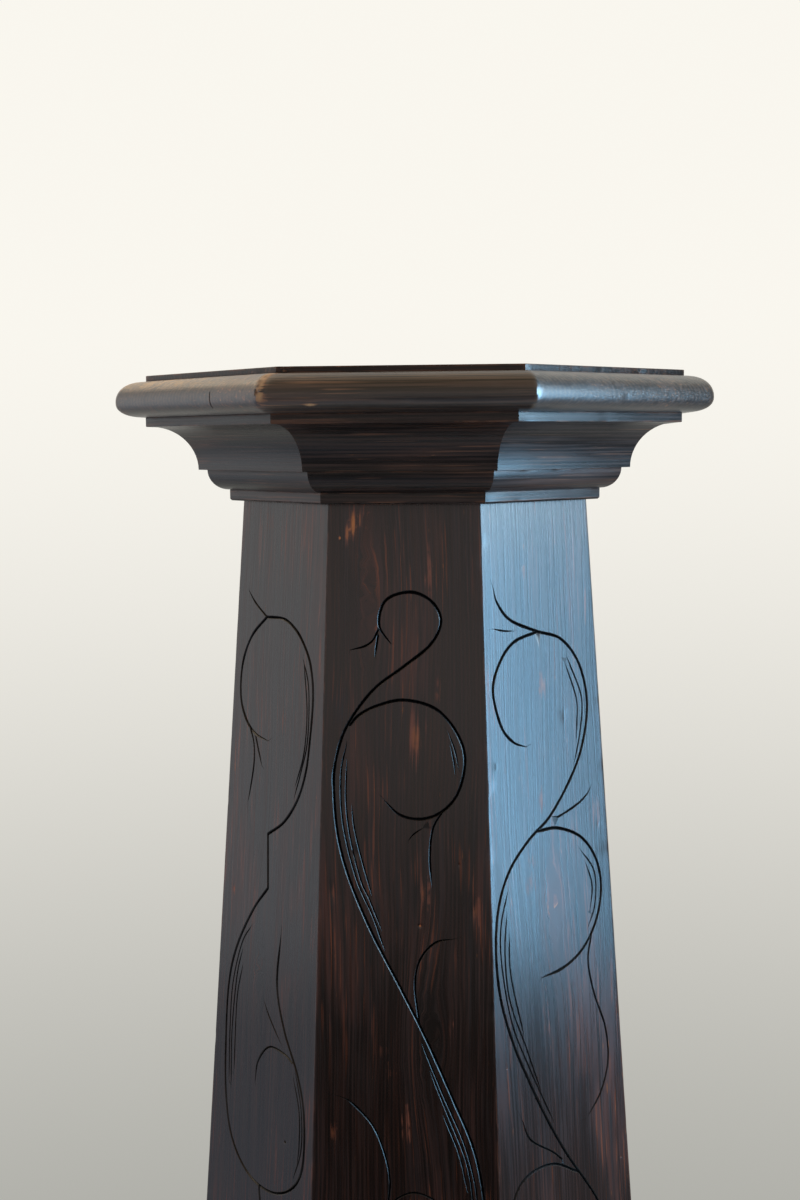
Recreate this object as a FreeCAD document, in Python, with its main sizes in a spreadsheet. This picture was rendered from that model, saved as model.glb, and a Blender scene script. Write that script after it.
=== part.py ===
import FreeCAD, Part
import math
import os
import Sketcher

# Octagonal pedestal column stand, in millimetres.
#
# The origin is on the floor at the middle of the column, +Z is up, and the front face of
# the column looks along -Y. Every layer is a regular octagon with a flat side to the
# front, so each layer is given by its width across flats ("across"), or by the distance
# from the axis to its flat face, and by its level.
#
# A tapered box of eight mitred boards runs from the floor to the underside of the top.
# Mitred lengths of moulding are planted round its neck and its foot, with their backs
# planed to the slope of the column. Three level boards inside hold the octagon in shape.
# Nothing on the stand moves.

FACES = ["front", "front_right", "right", "back_right", "back", "back_left", "left", "front_left"]
SIDES = len(FACES)
FRONT_ANGLE = -90
HALF_SIDE = f"{180 / SIDES} deg"
UP = FreeCAD.Vector(0, 0, 1)

DIMENSIONS = [
    ("total_height", 1200, "floor to the top of the panel"),
    ("neck_across", 297.5, "column at the underside of the necking strip"),
    ("foot_across", 448, "column at the floor"),
    ("stave_thick", 20, "column boards, measured level"),
    ("strip_proud", 11.25, "necking strip beyond the neck"),
    ("strip_rise", 9.5, ""),
    ("strip_ease", 1.5, "bevel on the lower edge of the strip"),
    ("ovolo_step", 1, "foot of the quarter round beyond the strip"),
    ("ovolo_run", 17, ""),
    ("ovolo_rise", 17.5, ""),
    ("cove_step", 7, "foot of the hollow beyond the quarter round"),
    ("cove_run", 35, ""),
    ("cove_rise", 37, ""),
    ("cove_quirk", 6, "level step between the hollow and the band above it"),
    ("fillet_rise", 8, "the band"),
    ("board_overhang", 24, "nosed top board beyond the band"),
    ("board_thick", 30, ""),
    ("nose_depth", 23, "how far the rounded edge reaches in from the tip"),
    ("nose_fullness", 0.73, "radius at the tip over half the thickness of the board"),
    ("panel_setback", 24, "thin panel on top, inside the tip of the rounded edge"),
    ("panel_thick", 5, ""),
    ("base_lip_proud", 7.8, "upper edge of the base moulding beyond the column"),
    ("base_lip_rise", 6, ""),
    ("base_hollow_run", 11, ""),
    ("base_hollow_rise", 22, ""),
    ("base_quirk", 4, ""),
    ("base_band_rise", 8, ""),
    ("plinth_step", 7, "plinth boards beyond the base moulding"),
    ("plinth_rise", 92, ""),
    ("plinth_ease", 3, "bevel on the upper edge of the plinth"),
    ("subtop_thick", 18, "level board inside the neck"),
    ("middle_thick", 15, "level board inside the middle of the column"),
    ("middle_level", 600, "its underside"),
    ("bottom_thick", 18, "level board inside the foot"),
    ("bottom_level", 20, "its underside"),
    ("cleat_thick", 25, "cleats on the inner faces of the column boards"),
    ("cleat_rise", 40, ""),
    ("cleat_width", 60, ""),
    ("screw_length", 38, ""),
    ("screw_across", 4, ""),
    ("screw_head_across", 8, ""),
    ("screw_head_rise", 2.6, ""),
    ("screw_clearance", 0.15, "round the shank in its hole"),
    ("screw_inset", 17, "screws of the top board, inside the upper cleats"),
]

# Values that follow from the sheet of dimensions. Levels are heights above the floor, and
# faces are distances from the axis.
DERIVED = [
    ("board_top", "dims.total_height - dims.panel_thick"),
    ("board_under", "board_top - dims.board_thick"),
    ("cove_top", "board_under - dims.fillet_rise"),
    ("cove_under", "cove_top - dims.cove_rise"),
    ("ovolo_under", "cove_under - dims.ovolo_rise"),
    ("strip_under", "ovolo_under - dims.strip_rise"),
    ("base_band_top", "dims.plinth_rise + dims.base_band_rise"),
    ("base_hollow_top", "base_band_top + dims.base_hollow_rise"),
    ("base_top", "base_hollow_top + dims.base_lip_rise"),
    ("subtop_under", "board_under - dims.subtop_thick"),
    ("middle_top", "dims.middle_level + dims.middle_thick"),
    ("bottom_top", "dims.bottom_level + dims.bottom_thick"),
    ("taper", "(dims.foot_across - dims.neck_across) / 2 / strip_under"),
    ("strip_face", "dims.neck_across / 2 + dims.strip_proud"),
    ("ovolo_foot", "strip_face + dims.ovolo_step"),
    ("ovolo_face", "ovolo_foot + dims.ovolo_run"),
    ("cove_foot", "ovolo_face + dims.cove_step"),
    ("cove_head", "cove_foot + dims.cove_run"),
    ("fillet_face", "cove_head + dims.cove_quirk"),
    ("board_face", "fillet_face + dims.board_overhang"),
    ("panel_face", "board_face - dims.panel_setback"),
    ("base_lip_face",
     "dims.neck_across / 2 + taper * (strip_under - base_top) + dims.base_lip_proud"),
    ("base_hollow_foot", "base_lip_face + dims.base_hollow_run"),
    ("base_foot", "base_hollow_foot + dims.base_quirk"),
    ("plinth_face", "base_foot + dims.plinth_step"),
    ("mitre_slope", f"tan({HALF_SIDE})"),
    ("reach", "2 * max(board_face; plinth_face; dims.foot_across / 2)"),
    ("half_board", "dims.board_thick / 2"),
    ("nose_tip_radius", "half_board * dims.nose_fullness"),
    ("nose_arm", "dims.nose_depth - nose_tip_radius"),
    ("nose_crown_radius",
     "(nose_arm ^ 2 + half_board ^ 2 - nose_tip_radius ^ 2) / 2 / (half_board - nose_tip_radius)"),
    ("nose_span", "nose_crown_radius - nose_tip_radius"),
    ("nose_root", "board_face - dims.nose_depth"),
    ("nose_join", "nose_root + nose_crown_radius * nose_arm / nose_span"),
    ("nose_join_rise", "(nose_crown_radius - half_board) * nose_tip_radius / nose_span"),
    ("hole_radius", "dims.screw_across / 2 + dims.screw_clearance"),
]

doc = FreeCAD.newDocument("pedestal_column_stand")
dims = doc.addObject("Spreadsheet::Sheet", "dims")
levels = doc.addObject("Spreadsheet::Sheet", "levels")
pieces = {}


def fill_sheets():
    for row, (alias, size, note) in enumerate(DIMENSIONS, start=1):
        dims.set(f"A{row}", alias)
        dims.set(f"B{row}", str(size))
        dims.setAlias(f"B{row}", alias)
        dims.set(f"C{row}", note)
    for row, (alias, formula) in enumerate(DERIVED, start=1):
        levels.set(f"A{row}", alias)
        levels.set(f"B{row}", f"={formula}")
        levels.setAlias(f"B{row}", alias)
    doc.recompute()


def value_of(expression):
    result = levels.evalExpression(expression)
    return getattr(result, "Value", result)


def column_face(level):
    """Distance from the axis to the outer face of the column at a level."""
    return f"(dims.neck_across / 2 + levels.taper * (levels.strip_under - {level}))"


def column_inside(level):
    return f"({column_face(level)} - dims.stave_thick)"


def upright_radius(run, rise):
    """Radius of an arc that starts upright and ends a run and a rise away."""
    return f"({run} ^ 2 + {rise} ^ 2) / 2 / {run}"


# ---- sketches ----------------------------------------------------------------------


def origin_feature(body, role):
    return next(item for item in body.Origin.OriginFeatures if item.Role == role)


def start_sketch(body, label, plane):
    sketch = body.newObject("Sketcher::SketchObject", f"{body.Label}_{label}")
    sketch.AttachmentSupport = [(origin_feature(body, plane), "")]
    sketch.MapMode = "FlatFace"
    return sketch


def bind(sketch, constraint, expression):
    index = sketch.addConstraint(constraint)
    name = f"size_{index}"
    sketch.renameConstraint(index, name)
    sketch.setExpression(f"Constraints.{name}", expression)


def pin(sketch, geometry, point, place):
    """Hold a point of the sketch at two distances from the sketch's origin."""
    for axis, own_axis, distance in zip("XY", (-2, -1), place):
        if distance == "0":
            sketch.addConstraint(Sketcher.Constraint("PointOnObject", geometry, point, own_axis))
        else:
            size = value_of(distance)
            held = Sketcher.Constraint(f"Distance{axis}", -1, 1, geometry, point, size)
            bind(sketch, held, distance)


def arc_between(start, end, radius):
    """The short arc from start to end. A radius below zero turns to the right."""
    chord = end - start
    across = FreeCAD.Vector(-chord.y, chord.x, 0).normalize()
    half = chord.Length / 2
    centre = (start + end) / 2 + across * math.copysign(math.sqrt(radius ** 2 - half ** 2), radius)
    first, last = (start, end) if radius > 0 else (end, start)
    angles = [math.atan2(tip.y - centre.y, tip.x - centre.x) for tip in (first, last)]
    if angles[1] < angles[0]:
        angles[1] += 2 * math.pi
    return Part.ArcOfCircle(Part.Circle(centre, UP, abs(radius)), angles[0], angles[1])


def draw_outline(sketch, corners, arcs=None):
    """A closed outline through corners given as pairs of expressions.

    arcs gives, for the number of the corner that an arc leaves, its radius and which way
    it turns: 1 for left and -1 for right.
    """
    arcs = arcs or {}
    places = [FreeCAD.Vector(value_of(x), value_of(y), 0) for x, y in corners]
    edges = []
    for number, start in enumerate(places):
        end = places[(number + 1) % len(places)]
        if number in arcs:
            radius, turn = arcs[number]
            geometry = sketch.addGeometry(arc_between(start, end, turn * value_of(radius)))
            bind(sketch, Sketcher.Constraint("Radius", geometry, value_of(radius)), radius)
            edges.append((geometry, 1, 2) if turn > 0 else (geometry, 2, 1))
        else:
            edges.append((sketch.addGeometry(Part.LineSegment(start, end)), 1, 2))
    for number, (geometry, start_point, _) in enumerate(edges):
        before, _, end_point = edges[number - 1]
        joined = Sketcher.Constraint("Coincident", before, end_point, geometry, start_point)
        sketch.addConstraint(joined)
        pin(sketch, geometry, start_point, corners[number])


def draw_circle(sketch, distance, radius):
    """A circle whose centre is on the sketch's X axis."""
    centre = FreeCAD.Vector(value_of(distance), 0, 0)
    geometry = sketch.addGeometry(Part.Circle(centre, UP, value_of(radius)))
    bind(sketch, Sketcher.Constraint("Radius", geometry, value_of(radius)), radius)
    pin(sketch, geometry, 3, (distance, "0"))


# ---- features ----------------------------------------------------------------------


def start_body(label, solids=1):
    body = doc.addObject("PartDesign::Body", label)
    body.Label = label
    pieces[label] = (body, solids)
    return body


def add_pad(body, label, sketch, length, side="One side"):
    pad = body.newObject("PartDesign::Pad", f"{body.Label}_{label}")
    pad.Profile = sketch
    pad.SideType = side
    pad.setExpression("Length", length)
    doc.recompute()
    return pad


def add_pocket(body, label, sketch, depth):
    """Cut to the same depth on both sides of the sketch, and check that it took wood away."""
    before = body.Shape.Volume
    pocket = body.newObject("PartDesign::Pocket", f"{body.Label}_{label}")
    pocket.Profile = sketch
    pocket.SideType = "Symmetric"
    pocket.setExpression("Length", f"2 * ({depth})")
    doc.recompute()
    if pocket.Shape.isNull() or pocket.Shape.Volume >= before:
        raise RuntimeError(f"{pocket.Name} cuts nothing")
    return pocket


def add_ring(body, label, features):
    """Repeat features on all sides of the octagon."""
    ring = body.newObject("PartDesign::PolarPattern", f"{body.Label}_{label}")
    ring.Originals = features
    ring.Axis = (origin_feature(body, "Z_Axis"), [""])
    ring.Angle = 360
    ring.Occurrences = SIDES
    body.Tip = ring
    doc.recompute()
    return ring


def bore_ring(body, label, radius, depth):
    """A ring of screw holes, drilled up from the body's XY plane."""
    circle = start_sketch(body, f"{label}_circle", "XY_Plane")
    draw_circle(circle, radius, "levels.hole_radius")
    hole = add_pocket(body, label, circle, depth)
    add_ring(body, f"{label}_ring", [hole])


def octagon_board(label, face, thickness, level):
    """A level octagonal board with square edges, with its underside at a level.

    face is the distance from the axis to the middle of each side.
    """
    body = start_body(label)
    body.setExpression("Placement.Base.z", level)
    corner_angles = [360 / SIDES * (number + 0.5) for number in range(SIDES)]
    corner_radius = f"{face} / cos({HALF_SIDE})"
    corners = [(f"{corner_radius} * cos({angle} deg)", f"{corner_radius} * sin({angle} deg)")
               for angle in corner_angles]
    plan = start_sketch(body, "plan", "XY_Plane")
    draw_outline(plan, corners)
    add_pad(body, "thickness", plan, thickness)
    return body


def mitred_ring(kind, corners, arcs=None):
    """Eight lengths of one section, mitred where the sides of the octagon meet.

    The section lies in the XZ plane, with X outward and Z up from the floor.
    """
    corner = ("levels.reach", "levels.reach * levels.mitre_slope")
    for side, face in enumerate(FACES):
        body = start_body(f"{kind}_{face}")
        section = start_sketch(body, "section", "XZ_Plane")
        draw_outline(section, corners, arcs)
        add_pad(body, "length", section, "levels.reach", side="Symmetric")
        waste = start_sketch(body, "waste", "XY_Plane")
        for sign in ("", "-"):
            beyond = [("0", "0"), (corner[0], sign + corner[1]),
                      ("levels.reach", sign + "levels.reach"), ("0", sign + "levels.reach")]
            draw_outline(waste, beyond)
        add_pocket(body, "mitres", waste, "dims.total_height")
        turn = FRONT_ANGLE + side * 360 / SIDES
        body.Placement = FreeCAD.Placement(FreeCAD.Vector(), FreeCAD.Rotation(UP, turn))


# ---- the column --------------------------------------------------------------------


def make_column():
    """Eight tapered boards, from the floor to the underside of the top board."""
    mitred_ring("column_board", [
        (column_inside("0"), "0"),
        (column_face("0"), "0"),
        (column_face("levels.board_under"), "levels.board_under"),
        (column_inside("levels.board_under"), "levels.board_under"),
    ])


# ---- the cap -----------------------------------------------------------------------


def top_screw_radius():
    return f"({column_inside('levels.board_under')} - dims.cleat_thick - dims.screw_inset)"


def make_top_board():
    """A solid octagonal board with its edge rounded to a thumb shape."""
    body = octagon_board("top_board", "levels.board_face", "dims.board_thick",
                         "levels.board_under")
    spare_top = "dims.board_thick * 1.5"
    spare_under = "-dims.board_thick / 2"
    upper_join = "levels.half_board + levels.nose_join_rise"
    lower_join = "levels.half_board - levels.nose_join_rise"
    edge = start_sketch(body, "edge", "XZ_Plane")
    draw_outline(edge, [
        ("levels.nose_root", "dims.board_thick"),
        ("levels.nose_join", upper_join),
        ("levels.nose_join", lower_join),
        ("levels.nose_root", "0"),
        ("levels.nose_root", spare_under),
        ("levels.reach", spare_under),
        ("levels.reach", spare_top),
        ("levels.nose_root", spare_top),
    ], {0: ("levels.nose_crown_radius", -1),
        1: ("levels.nose_tip_radius", -1),
        2: ("levels.nose_crown_radius", -1)})
    nose = add_pocket(body, "nose", edge, "levels.reach")
    add_ring(body, "nose_ring", [nose])
    bore_ring(body, "pilot", top_screw_radius(),
              "dims.screw_length - dims.subtop_thick + dims.screw_clearance")


def make_cap_mouldings():
    """Band and hollow in one piece, then the quarter round, then the necking strip."""
    mitred_ring("cove_moulding", [
        (column_face("levels.cove_under"), "levels.cove_under"),
        ("levels.cove_foot", "levels.cove_under"),
        ("levels.cove_head", "levels.cove_top"),
        ("levels.fillet_face", "levels.cove_top"),
        ("levels.fillet_face", "levels.board_under"),
        (column_face("levels.board_under"), "levels.board_under"),
    ], {1: (upright_radius("dims.cove_run", "dims.cove_rise"), -1)})
    mitred_ring("ovolo_moulding", [
        (column_face("levels.ovolo_under"), "levels.ovolo_under"),
        ("levels.ovolo_foot", "levels.ovolo_under"),
        ("levels.ovolo_face", "levels.cove_under"),
        (column_face("levels.cove_under"), "levels.cove_under"),
    ], {1: (upright_radius("dims.ovolo_run", "dims.ovolo_rise"), 1)})
    mitred_ring("necking_strip", [
        (column_face("levels.strip_under"), "levels.strip_under"),
        ("levels.strip_face - dims.strip_ease", "levels.strip_under"),
        ("levels.strip_face", "levels.strip_under + dims.strip_ease"),
        ("levels.strip_face", "levels.ovolo_under"),
        (column_face("levels.ovolo_under"), "levels.ovolo_under"),
    ])


# ---- the base ----------------------------------------------------------------------


def make_base():
    """Plinth boards that stand on the floor, with a hollow moulding on top of them."""
    mitred_ring("plinth_board", [
        (column_face("0"), "0"),
        ("levels.plinth_face", "0"),
        ("levels.plinth_face", "dims.plinth_rise - dims.plinth_ease"),
        ("levels.plinth_face - dims.plinth_ease", "dims.plinth_rise"),
        (column_face("dims.plinth_rise"), "dims.plinth_rise"),
    ])
    mitred_ring("base_moulding", [
        (column_face("dims.plinth_rise"), "dims.plinth_rise"),
        ("levels.base_foot", "dims.plinth_rise"),
        ("levels.base_foot", "levels.base_band_top"),
        ("levels.base_hollow_foot", "levels.base_band_top"),
        ("levels.base_lip_face", "levels.base_hollow_top"),
        ("levels.base_lip_face", "levels.base_top"),
        (column_face("levels.base_top"), "levels.base_top"),
    ], {3: (upright_radius("dims.base_hollow_run", "dims.base_hollow_rise"), -1)})


# ---- inside the column -------------------------------------------------------------


def cleat_ring(label, under):
    """Eight cleats glued to the inner faces of the column, with their undersides at a level."""
    body = start_body(label, solids=SIDES)
    top = f"({under} + dims.cleat_rise)"
    section = start_sketch(body, "section", "XZ_Plane")
    draw_outline(section, [
        (f"{column_inside(under)} - dims.cleat_thick", under),
        (column_inside(under), under),
        (column_inside(top), top),
        (f"{column_inside(top)} - dims.cleat_thick", top),
    ])
    cleat = add_pad(body, "width", section, "dims.cleat_width", side="Symmetric")
    return body, cleat


def sketch_axis(sketch, distance, low, high):
    """An upright construction line of the sketch, for a revolution about it."""
    ends = [FreeCAD.Vector(value_of(distance), value_of(level), 0) for level in (low, high)]
    line = sketch.addGeometry(Part.LineSegment(*ends), True)
    pin(sketch, line, 1, (distance, low))
    pin(sketch, line, 2, (distance, high))
    return "Axis0"


def screw_ring(label, ring_radius, seat):
    """Eight round-headed wood screws that point up, with their heads under a seat level."""
    body = start_body(label, solids=SIDES)
    shank = f"{ring_radius} + dims.screw_across / 2"
    head = f"{ring_radius} + dims.screw_head_across / 2"
    crown = f"{seat} - dims.screw_head_rise"
    tip = f"{seat} + dims.screw_length"
    section = start_sketch(body, "section", "XZ_Plane")
    draw_outline(section, [
        (ring_radius, crown),
        (shank, crown),
        (head, f"{seat} - dims.screw_head_rise / 2"),
        (head, seat),
        (shank, seat),
        (shank, f"{tip} - dims.screw_across"),
        (ring_radius, tip),
    ])
    turned = body.newObject("PartDesign::Revolution", f"{label}_turned")
    turned.Profile = section
    turned.ReferenceAxis = (section, [sketch_axis(section, ring_radius, seat, tip)])
    turned.Angle = 360
    add_ring(body, "ring", [turned])


def make_top_support():
    """A board let in flush with the top of the column, on cleats, screwed up into the top."""
    board = octagon_board("subtop_board", column_inside("levels.board_under"),
                          "dims.subtop_thick", "levels.subtop_under")
    bore_ring(board, "screw_hole", top_screw_radius(), "dims.subtop_thick")
    cleats, cleat = cleat_ring("upper_cleats", "(levels.subtop_under - dims.cleat_rise)")
    add_ring(cleats, "ring", [cleat])
    screw_ring("top_screws", top_screw_radius(), "levels.subtop_under")


def make_middle_support():
    """A board half way up that stands on its cleats."""
    octagon_board("middle_board", column_inside("levels.middle_top"),
                  "dims.middle_thick", "dims.middle_level")
    cleats, cleat = cleat_ring("middle_cleats", "(dims.middle_level - dims.cleat_rise)")
    add_ring(cleats, "ring", [cleat])


def make_bottom_support():
    """A board inside the foot, screwed up into the cleats above it."""
    screw_radius = f"({column_inside('levels.bottom_top')} - dims.cleat_thick / 2)"
    board = octagon_board("bottom_board", column_inside("levels.bottom_top"),
                          "dims.bottom_thick", "dims.bottom_level")
    bore_ring(board, "screw_hole", screw_radius, "dims.bottom_thick")
    cleats, cleat = cleat_ring("lower_cleats", "levels.bottom_top")
    circle = start_sketch(cleats, "pilot_circle", "XY_Plane")
    draw_circle(circle, screw_radius, "levels.hole_radius")
    pilot = add_pocket(cleats, "pilot", circle,
                       "dims.bottom_level + dims.screw_length + dims.screw_clearance")
    add_ring(cleats, "ring", [cleat, pilot])
    screw_ring("bottom_screws", screw_radius, "dims.bottom_level")


# ---- build, check and write ----------------------------------------------------------


def check_document():
    for item in doc.Objects:
        if "Invalid" in item.State or "Error" in item.State:
            raise RuntimeError(f"{item.Label} failed: {item.State}")
    for label, (body, solids) in pieces.items():
        shape = body.Shape
        if shape.isNull() or not shape.isValid():
            raise RuntimeError(f"{label} has no valid shape")
        if len(shape.Solids) != solids:
            raise RuntimeError(f"{label} has {len(shape.Solids)} solids, not {solids}")


def write_pieces():
    os.makedirs("parts", exist_ok=True)
    for label, (body, _) in pieces.items():
        body.Shape.exportStep(f"parts/{label}.step")


fill_sheets()
octagon_board("top_panel", "levels.panel_face", "dims.panel_thick", "levels.board_top")
make_top_board()
make_cap_mouldings()
make_column()
make_base()
make_top_support()
make_middle_support()
make_bottom_support()
doc.recompute()
check_document()
write_pieces()
print(f"{len(pieces)} pieces, {sum(solids for _, solids in pieces.values())} solids")
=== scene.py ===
import math
import random
from collections import namedtuple
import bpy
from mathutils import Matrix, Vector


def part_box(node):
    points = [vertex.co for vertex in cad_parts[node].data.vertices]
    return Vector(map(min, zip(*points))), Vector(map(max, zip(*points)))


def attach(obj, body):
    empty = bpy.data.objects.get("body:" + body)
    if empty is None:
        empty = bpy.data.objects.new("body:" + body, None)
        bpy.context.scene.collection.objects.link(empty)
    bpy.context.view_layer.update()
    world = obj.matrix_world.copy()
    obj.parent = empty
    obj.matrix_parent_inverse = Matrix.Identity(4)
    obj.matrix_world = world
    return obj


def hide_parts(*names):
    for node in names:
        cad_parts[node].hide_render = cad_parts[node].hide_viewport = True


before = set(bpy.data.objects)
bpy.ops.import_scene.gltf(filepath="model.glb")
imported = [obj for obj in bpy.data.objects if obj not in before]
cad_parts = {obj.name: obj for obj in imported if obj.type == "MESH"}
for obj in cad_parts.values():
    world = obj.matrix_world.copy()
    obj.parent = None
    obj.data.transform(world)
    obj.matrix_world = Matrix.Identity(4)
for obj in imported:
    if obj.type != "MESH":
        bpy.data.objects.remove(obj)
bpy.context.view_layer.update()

from types import SimpleNamespace

import bpy
from mathutils import Matrix, Vector, kdtree, noise
from mathutils.geometry import delaunay_2d_cdt

# The dressed model of the octagonal pedestal column stand, in metres.
#
# The CAD gives every place. Each moulding, column board and top piece is rebuilt as a closed
# mesh with eased and worn edges, and the column boards get their carving. The boards, cleats
# and screws inside keep their CAD shapes and get wood and steel materials.
#
# Three numbers give a point on one side of the octagon: how far it is across that side
# from its middle line, how far out from the column's axis, and its level above the floor.

MM = 0.001
SIDES = 8
FACES = ("front", "front_right", "right", "back_right", "back", "back_left", "left", "front_left")
FRONT_ANGLE = math.radians(-90)
TURN = math.radians(360 / SIDES)
HALF_TAN = math.tan(TURN / 2)
UP = Vector((0, 0, 1))


# ------------------------ sizes from the frame

def reach(node):
    """How far a ring's or board's flat side is from the axis. One side looks along +X."""
    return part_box(node)[1].x


def levels(node):
    """The levels of a node's foot and head."""
    low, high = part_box(node)
    return low.z, high.z


BOARD_FOOT, BOARD_HEAD = levels("column_board_right")
COLUMN_FOOT = reach("column_board_right")
NECK_LEVEL = levels("necking_strip_right")[0]
NECK_REACH = 148.75 * MM
TAPER = (COLUMN_FOOT - NECK_REACH) / NECK_LEVEL
BOARD_THICK = 20 * MM
JOINT_GAP = 0.07 * MM


def column_face(level):
    """How far the column's outer face is from the axis at this level."""
    return COLUMN_FOOT - TAPER * level


Side = namedtuple("Side", "name out along")


def make_side(index):
    angle = FRONT_ANGLE + TURN * index
    out = Vector((math.cos(angle), math.sin(angle), 0))
    along = UP.cross(out)
    return Side(FACES[index], out, along)


SIDE_OF = {name: make_side(index) for index, name in enumerate(FACES)}


def place(side, across, out, level):
    return side.along * across + side.out * out + UP * level


# ------------------------ camera

PHOTO_WIDE, PHOTO_HIGH = 800, 1200
SENSOR = 36.0
LENS = 43.88
CAMERA_PLACE = Vector((0.1094, -1.3266, 1.1443))
CAMERA_HEADING = math.radians(5.487)
CAMERA_PITCH = math.radians(6.247)
CAMERA_ROLL = math.radians(-0.478)


def camera_axes():
    """The camera's right, up and forward directions."""
    flat = Vector((-math.sin(CAMERA_HEADING), math.cos(CAMERA_HEADING), 0))
    forward = flat * math.cos(CAMERA_PITCH) - UP * math.sin(CAMERA_PITCH)
    level_right = Vector((math.cos(CAMERA_HEADING), math.sin(CAMERA_HEADING), 0))
    level_up = level_right.cross(forward)
    right = level_right * math.cos(CAMERA_ROLL) + level_up * math.sin(CAMERA_ROLL)
    return right, right.cross(forward), forward


CAMERA_RIGHT, CAMERA_UP, CAMERA_FORWARD = camera_axes()


def make_camera():
    data = bpy.data.cameras.new("camera")
    data.lens = LENS
    data.sensor_width = SENSOR
    data.clip_start = 0.01
    camera = bpy.data.objects.new("camera", data)
    bpy.context.scene.collection.objects.link(camera)
    columns = Matrix((CAMERA_RIGHT, CAMERA_UP, -CAMERA_FORWARD)).transposed()
    camera.matrix_world = Matrix.Translation(CAMERA_PLACE) @ columns.to_4x4()
    bpy.context.scene.camera = camera


def on_column(side, pixel):
    """Where a pixel of the photograph falls on a side of the column, as (across, level)."""
    focal = LENS / SENSOR * PHOTO_HIGH
    ray = (
        CAMERA_FORWARD * focal
        + CAMERA_RIGHT * (pixel[0] - PHOTO_WIDE / 2)
        - CAMERA_UP * (pixel[1] - PHOTO_HIGH / 2)
    )
    normal = side.out + UP * TAPER
    run = (COLUMN_FOOT - CAMERA_PLACE.dot(normal)) / ray.dot(normal)
    point = CAMERA_PLACE + ray * run
    return Vector((point.dot(side.along), point.z))


# ------------------------ carved lines
# A carved line is a kind of cut and then the points that its smooth curve goes through, in
# pixels of the 800 x 1200 photograph. The photograph stops above the foot, so the points
# past y = 1200 are drawn in the same frame, which goes on below its lower edge.

DEEP = 2.9 * MM
MIDDLE = 2.2 * MM
FINE = 1.7 * MM
POINTED, FULL = True, False

Cut = namedtuple("Cut", "width start end")
STEM = Cut(DEEP, POINTED, FULL)
SCROLL = Cut(DEEP, FULL, POINTED)
LINK = Cut(DEEP, FULL, FULL)
BRANCH = Cut(MIDDLE, POINTED, FULL)
TENDRIL = Cut(MIDDLE, FULL, POINTED)
ECHO = Cut(FINE, POINTED, POINTED)

FRONT_LINES = {
    "hook_and_stem": (STEM, (391, 644), (379, 625), (386, 600), (411, 592), (432, 602), (441, 622),
        (430, 645), (403, 667), (372, 691), (346, 728), (335, 765), (334, 795), (338, 836),
        (349, 878), (371, 931), (401, 989), (428, 1043), (452, 1097), (474, 1150), (484, 1200),
        (485, 1240), (478, 1285), (460, 1332), (434, 1376), (404, 1420), (379, 1462), (362, 1508),
        (356, 1550), (361, 1592)),
    "left_tendril": (TENDRIL, (378, 630), (373, 640), (365, 646), (350, 650)),
    "small_tendril": (TENDRIL, (378, 636), (376, 649), (375, 657)),
    "scroll": (SCROLL, (350, 725), (359, 715), (376, 706), (403, 700), (434, 708), (455, 730),
        (465, 758), (459, 791), (443, 811), (422, 819), (400, 815), (384, 800)),
    "scroll_tendril": (TENDRIL, (443, 811), (433, 829), (430, 857), (432, 887)),
    "scroll_dash": (ECHO, (423, 828), (414, 834), (408, 841)),
    "scroll_echo": (ECHO, (448, 732), (455, 751), (459, 770)),
    "short_scroll_echo": (ECHO, (450, 743), (454, 762), (455, 774)),
    "stem_echo": (ECHO, (347, 742), (341, 775), (343, 823), (356, 878), (373, 917), (385, 951)),
    "second_stem_echo": (ECHO, (347, 760), (346, 800), (350, 836), (360, 878), (370, 901),
        (382, 931)),
    "third_stem_echo": (ECHO, (352, 806), (354, 826), (360, 853), (372, 896)),
    "middle_hook": (BRANCH, (454, 939), (435, 943), (420, 960), (415, 985), (419, 1021)),
    "low_echo": (ECHO, (422, 1044), (443, 1095), (463, 1141), (474, 1179), (478, 1212),
        (478, 1244)),
    "second_low_echo": (ECHO, (430, 1071), (447, 1113), (466, 1161), (473, 1200), (473, 1225)),
    "third_low_echo": (ECHO, (443, 1115), (459, 1154), (468, 1193)),
    "left_branch": (BRANCH, (339, 1096), (352, 1103), (373, 1126), (385, 1155), (390, 1182),
        (387, 1212)),
    "low_scroll": (TENDRIL, (387, 1212), (397, 1199), (415, 1193), (436, 1202), (449, 1224),
        (448, 1251), (435, 1272), (415, 1279), (397, 1271)),
    "foot_scroll": (SCROLL, (468, 1312), (446, 1300), (418, 1298), (388, 1308), (362, 1330),
        (348, 1360), (351, 1392), (367, 1413), (388, 1416), (403, 1403)),
    "foot_tendril": (TENDRIL, (350, 1390), (338, 1410), (330, 1436), (329, 1464)),
    "foot_echo": (ECHO, (471, 1332), (446, 1375), (414, 1422), (388, 1465), (371, 1507),
        (365, 1542)),
    "second_foot_echo": (ECHO, (463, 1362), (429, 1414), (400, 1458), (383, 1496)),
    "foot_hook": (TENDRIL, (390, 1446), (407, 1436), (428, 1436), (446, 1448), (456, 1469),
        (456, 1493), (449, 1515)),
}

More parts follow.
